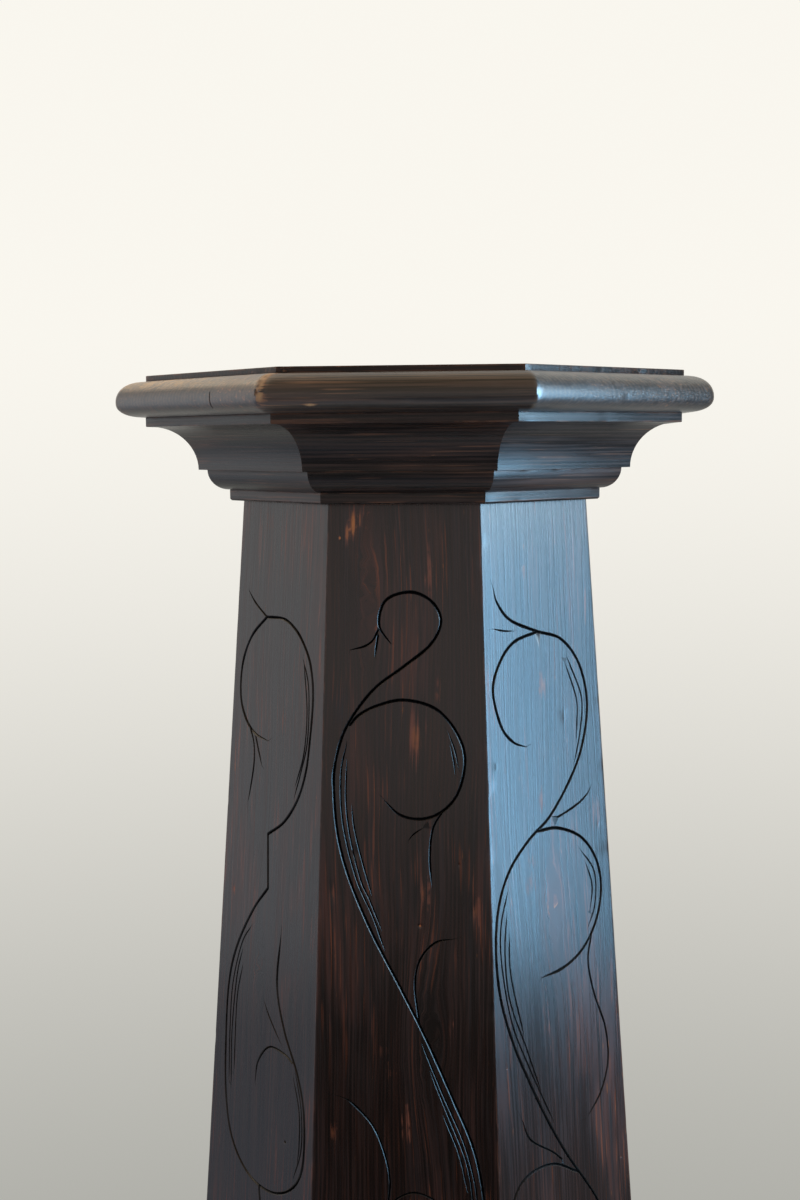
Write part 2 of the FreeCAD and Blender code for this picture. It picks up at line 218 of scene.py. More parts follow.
LEFT_LINES = {
    "top_tendril": (BRANCH, (249, 590), (256, 603), (267, 617)),
    "upper_loop": (SCROLL, (267, 617), (252, 636), (243, 663), (241, 695), (246, 718), (255, 733),
        (268, 741)),
    "loop_tail": (TENDRIL, (250, 726), (254, 743), (254, 764), (250, 791), (248, 801)),
    "loop_curl": (TENDRIL, (256, 737), (259, 752), (262, 766)),
    "upper_bow": (LINK, (267, 617), (284, 619), (296, 630), (305, 647), (311, 668), (313, 700),
        (309, 749), (305, 776), (297, 801), (284, 822), (268, 834)),
    "link": (LINK, (268, 834), (268, 861), (268, 888)),
    "lower_bow": (SCROLL, (268, 888), (253, 910), (237, 946), (229, 983), (226, 1036), (226, 1092),
        (232, 1137), (248, 1173), (270, 1192), (290, 1190), (302, 1169), (304, 1120), (298, 1078),
        (284, 1030), (277, 985), (281, 934)),
    "inner_hook": (TENDRIL, (292, 1063), (284, 1054), (269, 1047), (258, 1061), (255, 1082)),
    "inner_tear": (ECHO, (264, 1001), (269, 1016), (276, 1033), (281, 1044)),
    "bow_echo": (ECHO, (303, 659), (308, 682), (309, 710), (307, 745), (301, 772), (294, 798)),
    "second_bow_echo": (ECHO, (304, 663), (307, 710), (304, 753), (295, 787)),
    "low_echo": (ECHO, (252, 925), (242, 943), (233, 983), (230, 1030), (229, 1080)),
    "second_low_echo": (ECHO, (243, 948), (237, 976), (232, 1030), (231, 1086)),
    "third_low_echo": (ECHO, (243, 964), (237, 1000), (234, 1070)),
    "right_echo": (ECHO, (293, 1077), (299, 1112), (299, 1146), (297, 1164)),
    "second_right_echo": (ECHO, (295, 1071), (301, 1110), (301, 1150), (293, 1179)),
    "foot_bow": (SCROLL, (259, 1186), (260, 1213), (255, 1246), (243, 1279), (228, 1312),
        (217, 1348), (212, 1392), (214, 1436), (224, 1474), (240, 1499), (259, 1507), (277, 1497),
        (288, 1470), (290, 1432), (283, 1395), (272, 1362), (265, 1335), (266, 1308)),
    "foot_hook": (TENDRIL, (282, 1393), (271, 1385), (258, 1391), (250, 1410), (248, 1434)),
    "foot_echo": (ECHO, (238, 1306), (227, 1338), (220, 1372), (218, 1405), (221, 1440)),
    "second_foot_echo": (ECHO, (233, 1332), (226, 1365), (223, 1400), (226, 1432)),
    "foot_tail": (TENDRIL, (240, 1499), (236, 1530), (238, 1560), (246, 1588)),
}

RIGHT_LINES = {
    "tendril_and_stem": (STEM, (493, 588), (497, 603), (510, 620), (536, 631), (561, 639),
        (579, 664), (587, 703), (582, 745), (570, 779), (550, 816), (529, 840), (510, 870),
        (499, 906), (496, 948), (500, 995), (512, 1040), (529, 1081), (547, 1119), (567, 1154),
        (586, 1181), (598, 1200), (609, 1226), (616, 1262), (617, 1300), (610, 1342), (598, 1384),
        (584, 1424), (574, 1462), (570, 1500), (575, 1538), (586, 1570)),
    "upper_loop": (SCROLL, (536, 632), (514, 642), (500, 662), (493, 691), (501, 726), (513, 742),
        (526, 747)),
    "upper_dash": (ECHO, (493, 629), (504, 631), (514, 631)),
    "upper_echo": (ECHO, (566, 655), (580, 691), (582, 711), (579, 738), (574, 764)),
    "second_upper_echo": (ECHO, (565, 663), (576, 697), (577, 720), (576, 741)),
    "upper_tendril": (BRANCH, (591, 786), (586, 795), (576, 805), (558, 817)),
    "scroll": (SCROLL, (538, 831), (558, 828), (581, 837), (596, 859), (601, 888), (596, 920),
        (583, 948), (564, 967), (541, 978)),
    "scroll_tendril": (TENDRIL, (591, 936), (588, 961), (594, 993), (605, 1026), (608, 1060),
        (601, 1091), (588, 1116)),
    "scroll_echo": (ECHO, (580, 849), (594, 871), (595, 903), (588, 927)),
    "second_scroll_echo": (ECHO, (585, 861), (592, 885), (590, 910)),
    "stem_echo": (ECHO, (508, 891), (501, 927), (502, 967), (512, 1023), (529, 1067), (553, 1120)),
    "second_stem_echo": (ECHO, (507, 913), (505, 954), (510, 1001), (526, 1047), (541, 1091)),
    "third_stem_echo": (ECHO, (509, 934), (511, 976), (524, 1036)),
    "small_tendril": (BRANCH, (522, 1120), (531, 1140), (553, 1152), (562, 1159)),
    "low_scroll": (SCROLL, (577, 1171), (555, 1164), (533, 1172), (518, 1190), (512, 1218),
        (515, 1248), (528, 1272), (548, 1283), (569, 1277), (582, 1258)),
    "low_echo": (ECHO, (600, 1222), (607, 1262), (607, 1300), (600, 1340), (590, 1372)),
    "second_low_echo": (ECHO, (597, 1240), (601, 1275), (600, 1310), (594, 1345)),
    "foot_scroll": (SCROLL, (597, 1384), (580, 1366), (556, 1362), (533, 1376), (520, 1402),
        (519, 1434), (530, 1460), (547, 1468), (560, 1458)),
    "foot_tendril": (TENDRIL, (519, 1434), (517, 1465), (522, 1497), (533, 1524)),
}

# Patches where the stain has worn thin, dents, scratches and a nail hole: the pixel, the half
# width and half height in mm, and how bare, how dark and how deep in mm it is. A swirl is none
# of these, and only bends the grain round it.
Mark = namedtuple("Mark", "pixel half bare dark deep", defaults=(0, 0, 0))

FRONT_MARKS = {
    "worn_head": Mark((353, 524), (3, 17), bare=0.95),
    "worn_head_left": Mark((347, 533), (2, 12), bare=0.8),
    "worn_head_right": Mark((360, 520), (1.5, 12), bare=0.7),
    "chip_below_head": Mark((340, 538), (1.2, 1.8), bare=1, deep=0.2),
    "dark_patch": Mark((339, 707), (5, 16), bare=0.15, dark=0.2),
    "worn_in_scroll": Mark((416, 738), (8, 24), bare=0.68),
    "dent_by_stem": Mark((355, 852), (2.2, 5), bare=0.4, deep=0.5),
    "nick_on_right": Mark((459, 865), (0.7, 1.5), bare=0.7, deep=0.2),
    "dent_on_left": Mark((332, 893), (2.8, 9), bare=0.64, deep=0.2),
    "worn_middle": Mark((423, 893), (3.4, 16), bare=0.62),
    "chip_in_middle": Mark((420, 926), (1.4, 1.6), bare=0.9, deep=0.3),
    "dent_on_right": Mark((475, 912), (4.0, 12), bare=0.64, deep=0.2),
    "long_streak": Mark((388, 1062), (1.6, 34), bare=0.6),
    "low_streak": Mark((406, 1128), (2.0, 24), bare=0.5),
    "low_dent": Mark((333, 1133), (2.8, 10), bare=0.62, deep=0.2),
    "worn_by_stem": Mark((447, 1030), (4, 14), bare=0.4),
    "upper_streak": Mark((430, 571), (2.2, 24), bare=0.6),
    "scroll_streak": Mark((440, 690), (1.6, 22), bare=0.6),
    "worn_foot": Mark((348, 1390), (3, 9), bare=0.7),
    "middle_swirl": Mark((437, 1046), (17, 62)),
    "head_swirl": Mark((372, 600), (12, 70)),
    "foot_swirl": Mark((420, 1500), (15, 66)),
}
LEFT_MARKS = {
    "nail_hole": Mark((285, 1142), (1.0, 1.0), dark=1, deep=3),
    "worn_in_bow": Mark((283, 722), (3, 18), bare=0.6),
    "worn_head": Mark((271, 522), (4, 14), bare=0.5),
    "dent_by_edge": Mark((234, 889), (2.4, 5), bare=0.7, deep=0.2),
    "worn_on_right": Mark((309, 1168), (2, 7), bare=0.6),
    "worn_foot": Mark((262, 1290), (3, 14), bare=0.55),
    "swirl": Mark((262, 960), (12, 64)),
}
RIGHT_MARKS = {
    "worn_in_loop": Mark((543, 685), (3, 12), bare=0.72),
    "worn_on_left": Mark((503, 770), (3, 9), bare=0.66),
    "scratch_on_left": Mark((496, 767), (0.5, 3), dark=0.5, deep=0.2),
    "worn_by_stem": Mark((541, 800), (3.5, 12), bare=0.6),
    "worn_on_right": Mark((594, 812), (6, 16), bare=0.55),
    "nick_on_right": Mark((598, 824), (1, 2.5), bare=0.3, deep=0.3),
    "scroll_streak": Mark((532, 872), (1.5, 34), bare=0.62),
    "upper_scratch": Mark((564, 716), (0.4, 4), dark=0.5, deep=0.2),
    "head_streak": Mark((520, 560), (2, 28), bare=0.5),
    "worn_head": Mark((534, 505), (2.4, 16), bare=0.5),
    "worn_by_tendril": Mark((585, 600), (3, 20), bare=0.5),
    "loop_streak": Mark((519, 700), (2.5, 26), bare=0.45),
    "stem_streak": Mark((547, 1018), (1.6, 34), bare=0.55),
    "left_pinhole": Mark((507, 1069), (0.6, 0.6), bare=1, deep=0.15),
    "right_pinhole": Mark((621, 1157), (0.6, 0.6), bare=1, deep=0.15),
    "worn_foot": Mark((548, 1290), (4, 22), bare=0.5),
    "swirl": Mark((556, 900), (14, 60)),
}

# The five sides that the photograph doesn't show repeat the three that it shows, some of
# them the other way round.
CARVING = {
    "front": ("front", 1), "front_left": ("front_left", 1), "front_right": ("front_right", 1),
    "right": ("front_left", -1), "back_right": ("front_right", 1), "back": ("front", -1),
    "back_left": ("front_left", 1), "left": ("front_right", -1)}
LINES = {"front": FRONT_LINES, "front_left": LEFT_LINES, "front_right": RIGHT_LINES}
MARKS = {"front": FRONT_MARKS, "front_left": LEFT_MARKS, "front_right": RIGHT_MARKS}

LINE_STEP = 2.6 * MM
POINT_SHARE = 0.12
POINT_RUN_WIDTHS, POINT_RUN_MOST = 8, 0.45
UNEVEN_WIDTH, UNEVEN_RUN = 0.14, 14 * MM
RIM_SHARE, RIM_SLOPE, WALL_SLOPE = 0.4, 0.8, 2.2
MOVED_SHARE, MOVED_MM = 0.8, 90
MARK_FADE, BARE_GAIN, DARK_GAIN = 0.75, 1.25, 1.6
Groove = namedtuple("Groove", "points widths")
Blemish = namedtuple("Blemish", "centre half bare dark deep")


def wobble(*place_and_seed):
    """Smooth noise between -1 and 1 at a place."""
    return noise.noise(Vector(place_and_seed))


def smooth_curve(points, step):
    """Points a step apart on a Catmull-Rom curve through these points."""
    first = points[0] * 2 - points[1]
    last = points[-1] * 2 - points[-2]
    padded = [first] + points + [last]
    fine = []
    for a, b, c, d in zip(padded, padded[1:], padded[2:], padded[3:]):
        parts = max(2, math.ceil((c - b).length / step * 2))
        for i in range(parts):
            t = i / parts
            bend = (a * 2 - b * 5 + c * 4 - d) * t * t + (b * 3 - a - c * 3 + d) * t ** 3
            fine.append((b * 2 + (c - a) * t + bend) / 2)
    fine.append(points[-1])
    return fine[::2] + ([] if len(fine) % 2 else [fine[-1]])


def groove_widths(points, cut, seed):
    """The cut's width at each point. It narrows to almost nothing at a pointed end."""
    runs = [0.0]
    for a, b in zip(points, points[1:]):
        runs.append(runs[-1] + (b - a).length)
    total = runs[-1]
    fade = min(cut.width * POINT_RUN_WIDTHS, total * POINT_RUN_MOST)
    widths = []
    for run in runs:
        share = 1.0
        if cut.start == POINTED:
            share = min(share, POINT_SHARE + run / fade)
        if cut.end == POINTED:
            share = min(share, POINT_SHARE + (total - run) / fade)
        uneven = 1 + UNEVEN_WIDTH * wobble(run / UNEVEN_RUN, seed, 0)
        widths.append(cut.width * min(1.0, share) ** 0.7 * uneven)
    return widths


def make_grooves(name):
    source, flip = CARVING[name]
    grooves = []
    for number, (cut, *pixels) in enumerate(LINES[source].values()):
        points = [on_column(SIDE_OF[source], pixel) for pixel in pixels]
        points = [Vector((point.x * flip, point.y)) for point in points]
        curve = smooth_curve(points, LINE_STEP)
        seed = 3.7 * number + len(name)
        grooves.append(Groove(curve, groove_widths(curve, cut, seed)))
    return grooves


def make_blemishes(name):
    """The marks of one side. A side that isn't shown has its source's marks moved about."""
    source, flip = CARVING[name]
    draw = random.Random(40 + FACES.index(name))
    blemishes = []
    for mark in MARKS[source].values():
        centre = on_column(SIDE_OF[source], mark.pixel)
        if name != source:
            centre.x = draw.uniform(-MOVED_SHARE, MOVED_SHARE) * column_face(centre.y) * HALF_TAN
            centre.y += draw.uniform(-MOVED_MM, MOVED_MM) * MM
        half = Vector(mark.half) * MM
        blemishes.append(Blemish(centre, half, mark.bare, mark.dark, mark.deep * MM))
    return blemishes


def blemish_at(blemishes, spot):
    """How bare, how dark and how dented the surface is at a point of a side."""
    bare, dark, deep = 0.0, 0.0, 0.0
    for mark in blemishes:
        gap = spot - mark.centre
        away = math.hypot(gap.x / mark.half.x, gap.y / mark.half.y)
        share = max(0.0, 1 - away * MARK_FADE)
        bare = max(bare, mark.bare * min(1.0, share * BARE_GAIN))
        dark = max(dark, mark.dark * min(1.0, share * DARK_GAIN))
        deep = max(deep, mark.deep * share)
    return bare, dark, deep


def grain_bend(blemishes, spot):
    """How far sideways the grain is pushed at a point of a side, in long ovals."""
    push = 0.0
    for mark in blemishes:
        if not (mark.bare or mark.dark or mark.deep):
            gap = spot - mark.centre
            share = math.exp(-(gap.x / mark.half.x) ** 2 - (gap.y / mark.half.y) ** 2)
            push += share * (math.hypot(gap.x, gap.y * mark.half.x / mark.half.y) - gap.x)
    return push


# ------------------------ mesh helpers

SHARP_FROM = math.radians(28)


def new_piece(name, points, faces, marks, spread):
    """A smooth-shaded mesh object. marks gives each point's grain place, edge, cut and bare.
    spread is the level or upright direction across the grain, in which gloss is drawn out."""
    mesh = bpy.data.meshes.new(name)
    mesh.from_pydata([tuple(point) for point in points], [], faces)
    grains = [mark[0] for mark in marks]
    for label, vectors in (("grain", grains), ("spread", [spread] * len(points))):
        layer = mesh.attributes.new(label, "FLOAT_VECTOR", "POINT")
        layer.data.foreach_set("vector", [value for vector in vectors for value in vector])
    for column, label in enumerate(("edge", "cut", "bare"), start=1):
        layer = mesh.attributes.new(label, "FLOAT", "POINT")
        layer.data.foreach_set("value", [float(mark[column]) for mark in marks])
    mesh.validate()
    mesh.shade_smooth()
    mesh.set_sharp_from_angle(angle=SHARP_FROM)
    piece = bpy.data.objects.new(name, mesh)
    bpy.context.scene.collection.objects.link(piece)
    return piece


def dress(piece, material, slot, *nodes):
    """Gives a finished piece its material, hangs it under the root body, and hides the CAD nodes it
    replaces.
    """
    piece.data.materials.append(material)
    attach(piece, "root")
    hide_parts(*nodes)


def sweep_faces(rows, size, first=0, round_rows=False, round_size=True):
    """Faces between rows of points that follow each other, each of this size. The rows and
    the points in a row go round in a ring where it says so."""
    faces = []
    for row in range(rows if round_rows else rows - 1):
        a, b = first + row * size, first + (row + 1) % rows * size
        for i in range(size if round_size else size - 1):
            j = (i + 1) % size
            faces.append((a + i, b + i, b + j, a + j))
    return faces


def near(value, middle, far):
    """1 at the middle, falling evenly to 0 this far from it."""
    return max(0.0, 1 - abs(value - middle) / far)


def scaled(spot, waves):
    """Where to take the noise for a spot, so that it has this many waves a metre each way."""
    return [place_in_m * number for place_in_m, number in zip(spot, waves)]


def nicks(least, size, *place_and_seed):
    """Scattered dents, where the noise is above its least."""
    return max(0.0, wobble(*place_and_seed) - least) * size


# ------------------------ carved column boards

ARRIS_RADIUS = 2.6 * MM
ARRIS_RUN = ARRIS_RADIUS * HALF_TAN
ARRIS_STEP = 5 * MM
ARRIS_WORN = 2.5 * MM
EDGE_LINES = (0.4, 0.7, 1, 2.4)
MARK_RINGS, MARK_RING_STEP = (0.4, 0.8, 1.3, 1.8), 30
FILL_STEP = 10 * MM
FILL_SHIFT = 0.3
CLEAR_OF_EDGE = 4 * MM
CLEAR_OF_CUT = 3 * MM
# How strong each noise is, and its waves a metre across and up the side.
FACE_WAVE, FACE_WAVES = 0.14 * MM, (14, 9)
GRAIN_WANDER, GRAIN_WAVES = 6 * MM, (9, 4.5)
FINE_WANDER, FINE_WAVES = 1.5 * MM, (30, 14)
ARRIS_NICK, ARRIS_NICK_WAVES, ARRIS_NICK_LEAST = 1.3 * MM, 55, 0.18
CUT_SAMPLES = 8
WIDEST_HALF_CUT = DEEP * 0.6
CARVED_FROM = 0.2
# What delaunay_2d_cdt keeps, and how near two points are taken as one.
INSIDE_BORDER, SAME_POINT = 1, 1e-6


def arris_drop(gap):
    """How far the rounded arris falls below the flat, this far from the sharp corner."""
    if gap >= ARRIS_RUN:
        return 0.0
    return ARRIS_RADIUS - math.sqrt(ARRIS_RADIUS ** 2 - (ARRIS_RUN - gap) ** 2)


def cut_depths(grooves):
    """Two functions of a point of the face. One gives how deep the carving is there and how
    near it is to a cut's middle, the other how far it is from any cut."""
    samples = []
    for groove in grooves:
        pairs = list(zip(groove.points, groove.widths))
        for (a, width_a), (b, width_b) in zip(pairs, pairs[1:]):
            for i in range(CUT_SAMPLES):
                t = i / CUT_SAMPLES
                samples.append((a.lerp(b, t), width_a + (width_b - width_a) * t))
        samples.append(pairs[-1])
    tree = kdtree.KDTree(len(samples))
    for number, (point, _) in enumerate(samples):
        tree.insert((point.x, point.y, 0), number)
    tree.balance()

    def depth_at(point):
        depth, middle = 0.0, 0.0
        for _, number, gap in tree.find_range((point.x, point.y, 0), WIDEST_HALF_CUT):
            half = samples[number][1] / 2
            share = 1 - gap / half
            if share > 0:
                rim = min(share, RIM_SHARE) * RIM_SLOPE
                wall = max(0.0, share - RIM_SHARE) * WALL_SLOPE
                depth = max(depth, (rim + wall) * half)
                middle = max(middle, share)
        return depth, middle

    def near_cut(point):
        return tree.find((point.x, point.y, 0))[2]

    return depth_at, near_cut


class Sheet:
    """Points and fixed edges of a board's flat face, to be filled with triangles."""

    def __init__(self, near_cut):
        self.points = []
        self.edges = []
        self.near_cut = near_cut

    def add(self, across, level):
        self.points.append(Vector((across, level)))
        return len(self.points) - 1

    def chain(self, ids):
        self.edges.extend(zip(ids, ids[1:]))

    def add_if_clear(self, spot):
        """Adds a point that is clear of the board's four edges and of the carving."""
        across, level = spot
        inside = BOARD_FOOT + CLEAR_OF_EDGE < level < BOARD_HEAD - CLEAR_OF_EDGE
        inside = inside and abs(across) < column_face(level) * HALF_TAN - CLEAR_OF_EDGE
        if inside and self.near_cut(spot) > CLEAR_OF_CUT:
            self.add(across, level)


def lay_out_edges(sheet):
    """Lines of points down both long edges. The outermost two are the borders."""
    corner = (1 / math.cos(TURN / 2) - 1) * math.sin(TURN / 2) * ARRIS_RADIUS + JOINT_GAP
    rise = BOARD_HEAD - BOARD_FOOT
    rows = round(rise / ARRIS_STEP)
    heights = [BOARD_FOOT + rise * i / rows for i in range(rows + 1)]
    borders = []
    for hand in (-1, 1):
        lines = []
        for gap in (corner, *(ARRIS_RUN * share for share in EDGE_LINES)):
            lines.append([sheet.add(hand * (column_face(z) * HALF_TAN - gap), z) for z in heights])
            sheet.chain(lines[-1])
        borders.append(lines[0])
    left, right = borders
    sheet.chain([left[0], right[0]])
    sheet.chain([left[-1], right[-1]])
    return left, right


def lay_out_groove(sheet, groove):
    """Adds a cut: its two rims, the head of each steep wall, and its middle."""
    wall = (1 - RIM_SHARE) / 2
    shifts = (-0.5, -wall, 0, wall, 0.5)
    rows = [[] for _ in shifts]
    last = len(groove.points) - 1
    for i, (point, width) in enumerate(zip(groove.points, groove.widths)):
        ahead = groove.points[min(i + 1, last)] - groove.points[max(i - 1, 0)]
        normal = Vector((-ahead.y, ahead.x)).normalized()
        for ids, shift in zip(rows, shifts):
            ids.append(sheet.add(*(point + normal * width * shift)))
    for ids in rows:
        sheet.chain(ids)
    sheet.chain([ids[0] for ids in rows])
    sheet.chain([ids[-1] for ids in rows])


def lay_out_mark(sheet, mark):
    """Adds rings of points round a mark."""
    sheet.add_if_clear(mark.centre)
    for share in MARK_RINGS:
        for degrees in range(0, 360, MARK_RING_STEP):
            angle = math.radians(degrees)
            turned = Vector((math.cos(angle) * mark.half.x, math.sin(angle) * mark.half.y))
            sheet.add_if_clear(mark.centre + turned * share)


def lay_out_fill(sheet, draw):
    """Scatters points evenly over the rest of the face."""
    lines = math.ceil(2 * COLUMN_FOOT * HALF_TAN / FILL_STEP)
    for row in range(1, math.ceil((BOARD_HEAD - BOARD_FOOT) / FILL_STEP)):
        for line in range(-lines, lines + 1):
            level = BOARD_FOOT + (row + draw.uniform(-FILL_SHIFT, FILL_SHIFT)) * FILL_STEP
            across = (line + row % 2 / 2 + draw.uniform(-FILL_SHIFT, FILL_SHIFT)) * FILL_STEP
            sheet.add_if_clear(Vector((across, level)))


def shape_face(name, flat, depth_at, blemishes, grain_shift):
    """The outer face's points with the carving, marks and worn arrises, and which are carved."""
    side = SIDE_OF[name]
    number = FACES.index(name)
    points, marks, carved = [], [], set()
    for spot in flat:
        across, level = spot
        gap = column_face(level) * HALF_TAN - abs(across)
        depth, middle = depth_at(spot)
        bare, dark, dent = blemish_at(blemishes, spot)
        if middle > CARVED_FROM:
            carved.add(len(points))
        by_arris = near(gap, 0, ARRIS_WORN)
        hand = math.copysign(3.1, across)
        nick = nicks(ARRIS_NICK_LEAST, ARRIS_NICK, level * ARRIS_NICK_WAVES, hand, number)
        wave = FACE_WAVE * wobble(*scaled(spot, FACE_WAVES), number * 2.3)
        out = column_face(level) - max(depth, dent) - arris_drop(gap)
        out += wave * (1 - by_arris) - nick * by_arris ** 1.5
        points.append(place(side, across, out, level))
        wander = GRAIN_WANDER * wobble(*scaled(spot, GRAIN_WAVES), number * 1.7)
        wander += FINE_WANDER * wobble(*scaled(spot, FINE_WAVES), number * 2.9)
        wander += grain_bend(blemishes, spot)
        grain = Vector((across + wander, level, -depth)) + grain_shift
        marks.append((grain, by_arris, max(middle, dark), bare))
    return points, marks, carved


def row_at(flat, level):
    """The sheet's points at this level, from left to right."""
    ids = [i for i, spot in enumerate(flat) if abs(spot.y - level) < 0.01 * MM]
    return sorted(ids, key=lambda i: flat[i].x)


def close_board(side, flat, faces, borders, points, marks, grain_shift):
    """Adds the mitred edges, the back and the ends, and drops slivers along the borders."""
    backs = []
    for ids, hand in zip(borders, (-1, 1)):
        backs.append([])
        for i in ids:
            level = flat[i].y
            out = column_face(level) - BOARD_THICK
            across = hand * (out * HALF_TAN - JOINT_GAP)
            backs[-1].append(len(points))
            points.append(place(side, across, out, level))
            marks.append((Vector((across, level, BOARD_THICK)) + grain_shift, 0, 0, 0))
    left, right = borders
    back_left, back_right = backs
    slivers = (set(left), set(right))
    closed = [tuple(face) for face in faces if not any(ids.issuperset(face) for ids in slivers)]
    for i in range(len(left) - 1):
        closed.append((left[i + 1], back_left[i + 1], back_left[i], left[i]))
        closed.append((right[i], back_right[i], back_right[i + 1], right[i + 1]))
        closed.append((back_left[i], back_left[i + 1], back_right[i + 1], back_right[i]))
    closed.append((back_left[0], back_right[0], *reversed(row_at(flat, BOARD_FOOT))))
    closed.append((back_right[-1], back_left[-1], *row_at(flat, BOARD_HEAD)))
    return closed


def make_board(name, material, cut_material):
    """One mitred column board with its carving cut into the outer face."""
    number = FACES.index(name)
    grooves = make_grooves(name)
    blemishes = make_blemishes(name)
    depth_at, near_cut = cut_depths(grooves)
    sheet = Sheet(near_cut)
    borders = lay_out_edges(sheet)
    for groove in grooves:
        lay_out_groove(sheet, groove)
    for mark in blemishes:
        lay_out_mark(sheet, mark)
    lay_out_fill(sheet, random.Random(100 + number))
    flat, _, faces, origins, _, _ = delaunay_2d_cdt(
        sheet.points, sheet.edges, [], INSIDE_BORDER, SAME_POINT, True)
    now_at = {old: new for new, olds in enumerate(origins) for old in olds}
    borders = [[now_at[i] for i in ids] for ids in borders]

    grain_shift = Vector((0.37 * number, 0.91 * number, 0.53 * number))
    points, marks, carved = shape_face(name, flat, depth_at, blemishes, grain_shift)
    faces = close_board(SIDE_OF[name], flat, faces, borders, points, marks, grain_shift)
    board = new_piece(f"carved_board_{name}", points, faces, marks, SIDE_OF[name].along)
    dress(board, material, "column_wood", f"column_board_{name}")
    board.data.materials.append(cut_material)
    for polygon in board.data.polygons:
        polygon.material_index = int(any(i in carved for i in polygon.vertices))


# ------------------------ swept mouldings
# An outline is a list of (out, level, radius): a corner with a radius is eased. It runs up
# the side that shows, from the foot, and make_moulding closes it down the hidden side.

EASE_PARTS, COVE_PARTS, OVOLO_PARTS, BASE_PARTS = 3, 14, 10, 9
EASE_BORDER = 1.5 * MM
FILLET_RISE = 8 * MM
COVE_QUIRK, COVE_RUN = 6 * MM, 35 * MM
OVOLO_RUN = 17 * MM
STRIP_BEVEL = 1.5 * MM
BASE_BAND_RISE, BASE_QUIRK = 8 * MM, 4 * MM
BASE_HOLLOW_RUN, BASE_LIP_RISE = 11 * MM, 6 * MM
PLINTH_BEVEL, PLINTH_ROWS = 3 * MM, (0.33, 0.66)
BACK_GAP = 0.03 * MM
SET_OFF = 0.18 * MM
LENGTH_WAVE, LENGTH_WAVES = 0.16 * MM, (22, 30)
EDGE_NICK, EDGE_NICK_WAVES, EDGE_NICK_LEAST = 1.1 * MM, (70, 90), 0.25
END_BEND = 12


def arc(centre, start, end, parts):
    """Points on the way round a centre from start to end, both left out."""
    radius = (start - centre).length
    from_angle = math.atan2(*(start - centre).yx)
    turn = math.atan2(*(end - centre).yx) - from_angle
    turn = (turn + math.pi) % (2 * math.pi) - math.pi
    angles = [from_angle + turn * i / parts for i in range(1, parts)]
    return [(centre.x + radius * math.cos(a), centre.y + radius * math.sin(a), 0) for a in angles]


def eased(outline):
    """The outline's points with its corners rounded, and how much each is an edge."""
    made = []
    count = len(outline)
    for i, (out, level, radius) in enumerate(outline):
        corner = Vector((out, level))
        if not radius:
            made.append((corner, 0.0))
            continue
        before = (Vector(outline[i - 1][:2]) - corner).normalized()
        after = (Vector(outline[(i + 1) % count][:2]) - corner).normalized()
        half = before.angle(after) / 2
        run = radius / math.tan(half)
        centre = corner + (before + after).normalized() * radius / math.sin(half)
        start, end = corner + before * run, corner + after * run
        middle = [Vector(point[:2]) for point in arc(centre, start, end, EASE_PARTS)]
        made.append((corner + before * (run + EASE_BORDER), 0.0))
        made.extend((point, 1.0) for point in [start, *middle, end])
        made.append((corner + after * (run + EASE_BORDER), 0.0))
    return made


def make_length(kind, label, name, outline, steps, material):
    """One mitred length of moulding on one side of the octagon."""
    side = SIDE_OF[name]
    number = FACES.index(name)
    seed = 11.3 * number + len(kind)
    grain_shift = Vector((0.61 * number, 0.83 * number + len(kind), 0.29 * number))
    shift = SET_OFF * wobble(seed, 0.5, 0.5)
    points, marks = [], []
    for step in range(steps + 1):
        share = 2 * step / steps - 1
        ends = abs(share) ** END_BEND
        for out, edge in outline:
            across = share * (out.x * HALF_TAN - JOINT_GAP)
            spot = (across, out.y)
            wave = LENGTH_WAVE * wobble(*scaled(spot, LENGTH_WAVES), seed)
            nick_at = scaled(spot, EDGE_NICK_WAVES)
            nick = edge * nicks(EDGE_NICK_LEAST, EDGE_NICK, *nick_at, seed + 5)
            away = (wave + shift) * (1 - ends) - nick
            points.append(place(side, across, out.x + away, out.y))
            place_in_grain = Vector((out.y, across, out.x)) + grain_shift
            marks.append((place_in_grain, max(edge, 0.5 * ends), 0, 0))
    size = len(outline)
    faces = sweep_faces(steps + 1, size)
    faces.append(tuple(range(size)))
    faces.append(tuple(steps * size + i for i in reversed(range(size))))
    piece = new_piece(f"{label}_{name}", points, faces, marks, UP)
    dress(piece, material, "moulding_wood", f"{kind}_{name}")


def make_moulding(kind, label, shape, steps, material):
    """A ring of eight lengths. Their backs lie just in front of the column's faces."""
    foot, head = levels(f"{kind}_right")
    back = [(column_face(level) + BACK_GAP, level, 0) for level in (head, foot)]
    outline = eased(shape(foot, head, reach(f"{kind}_right")) + back)
    for name in FACES:
        make_length(kind, label, name, outline, steps, material)


def bow_radius(run, rise):
    """The radius of an arc that starts straight up and goes this far sideways and up."""
    return (run ** 2 + rise ** 2) / (2 * run)


def cove_shape(foot, head, face):
    band_foot = head - FILLET_RISE
    lip = face - COVE_QUIRK
    radius = bow_radius(COVE_RUN, band_foot - foot)
    root, tip = Vector((lip - COVE_RUN, foot)), Vector((lip, band_foot))
    hollow = arc(Vector((root.x + radius, foot)), root, tip, COVE_PARTS)
    return [
        (root.x, root.y, 0), *hollow, (tip.x, tip.y, 0.4 * MM),
        (face, band_foot, 0.7 * MM), (face, head, 0.4 * MM)]


def ovolo_shape(foot, head, face):
    radius = bow_radius(OVOLO_RUN, head - foot)
    root, tip = Vector((face - OVOLO_RUN, foot)), Vector((face, head))
    quarter = arc(Vector((face - radius, head)), root, tip, OVOLO_PARTS)
    return [(root.x, root.y, 0), *quarter, (tip.x, tip.y, 0.5 * MM)]


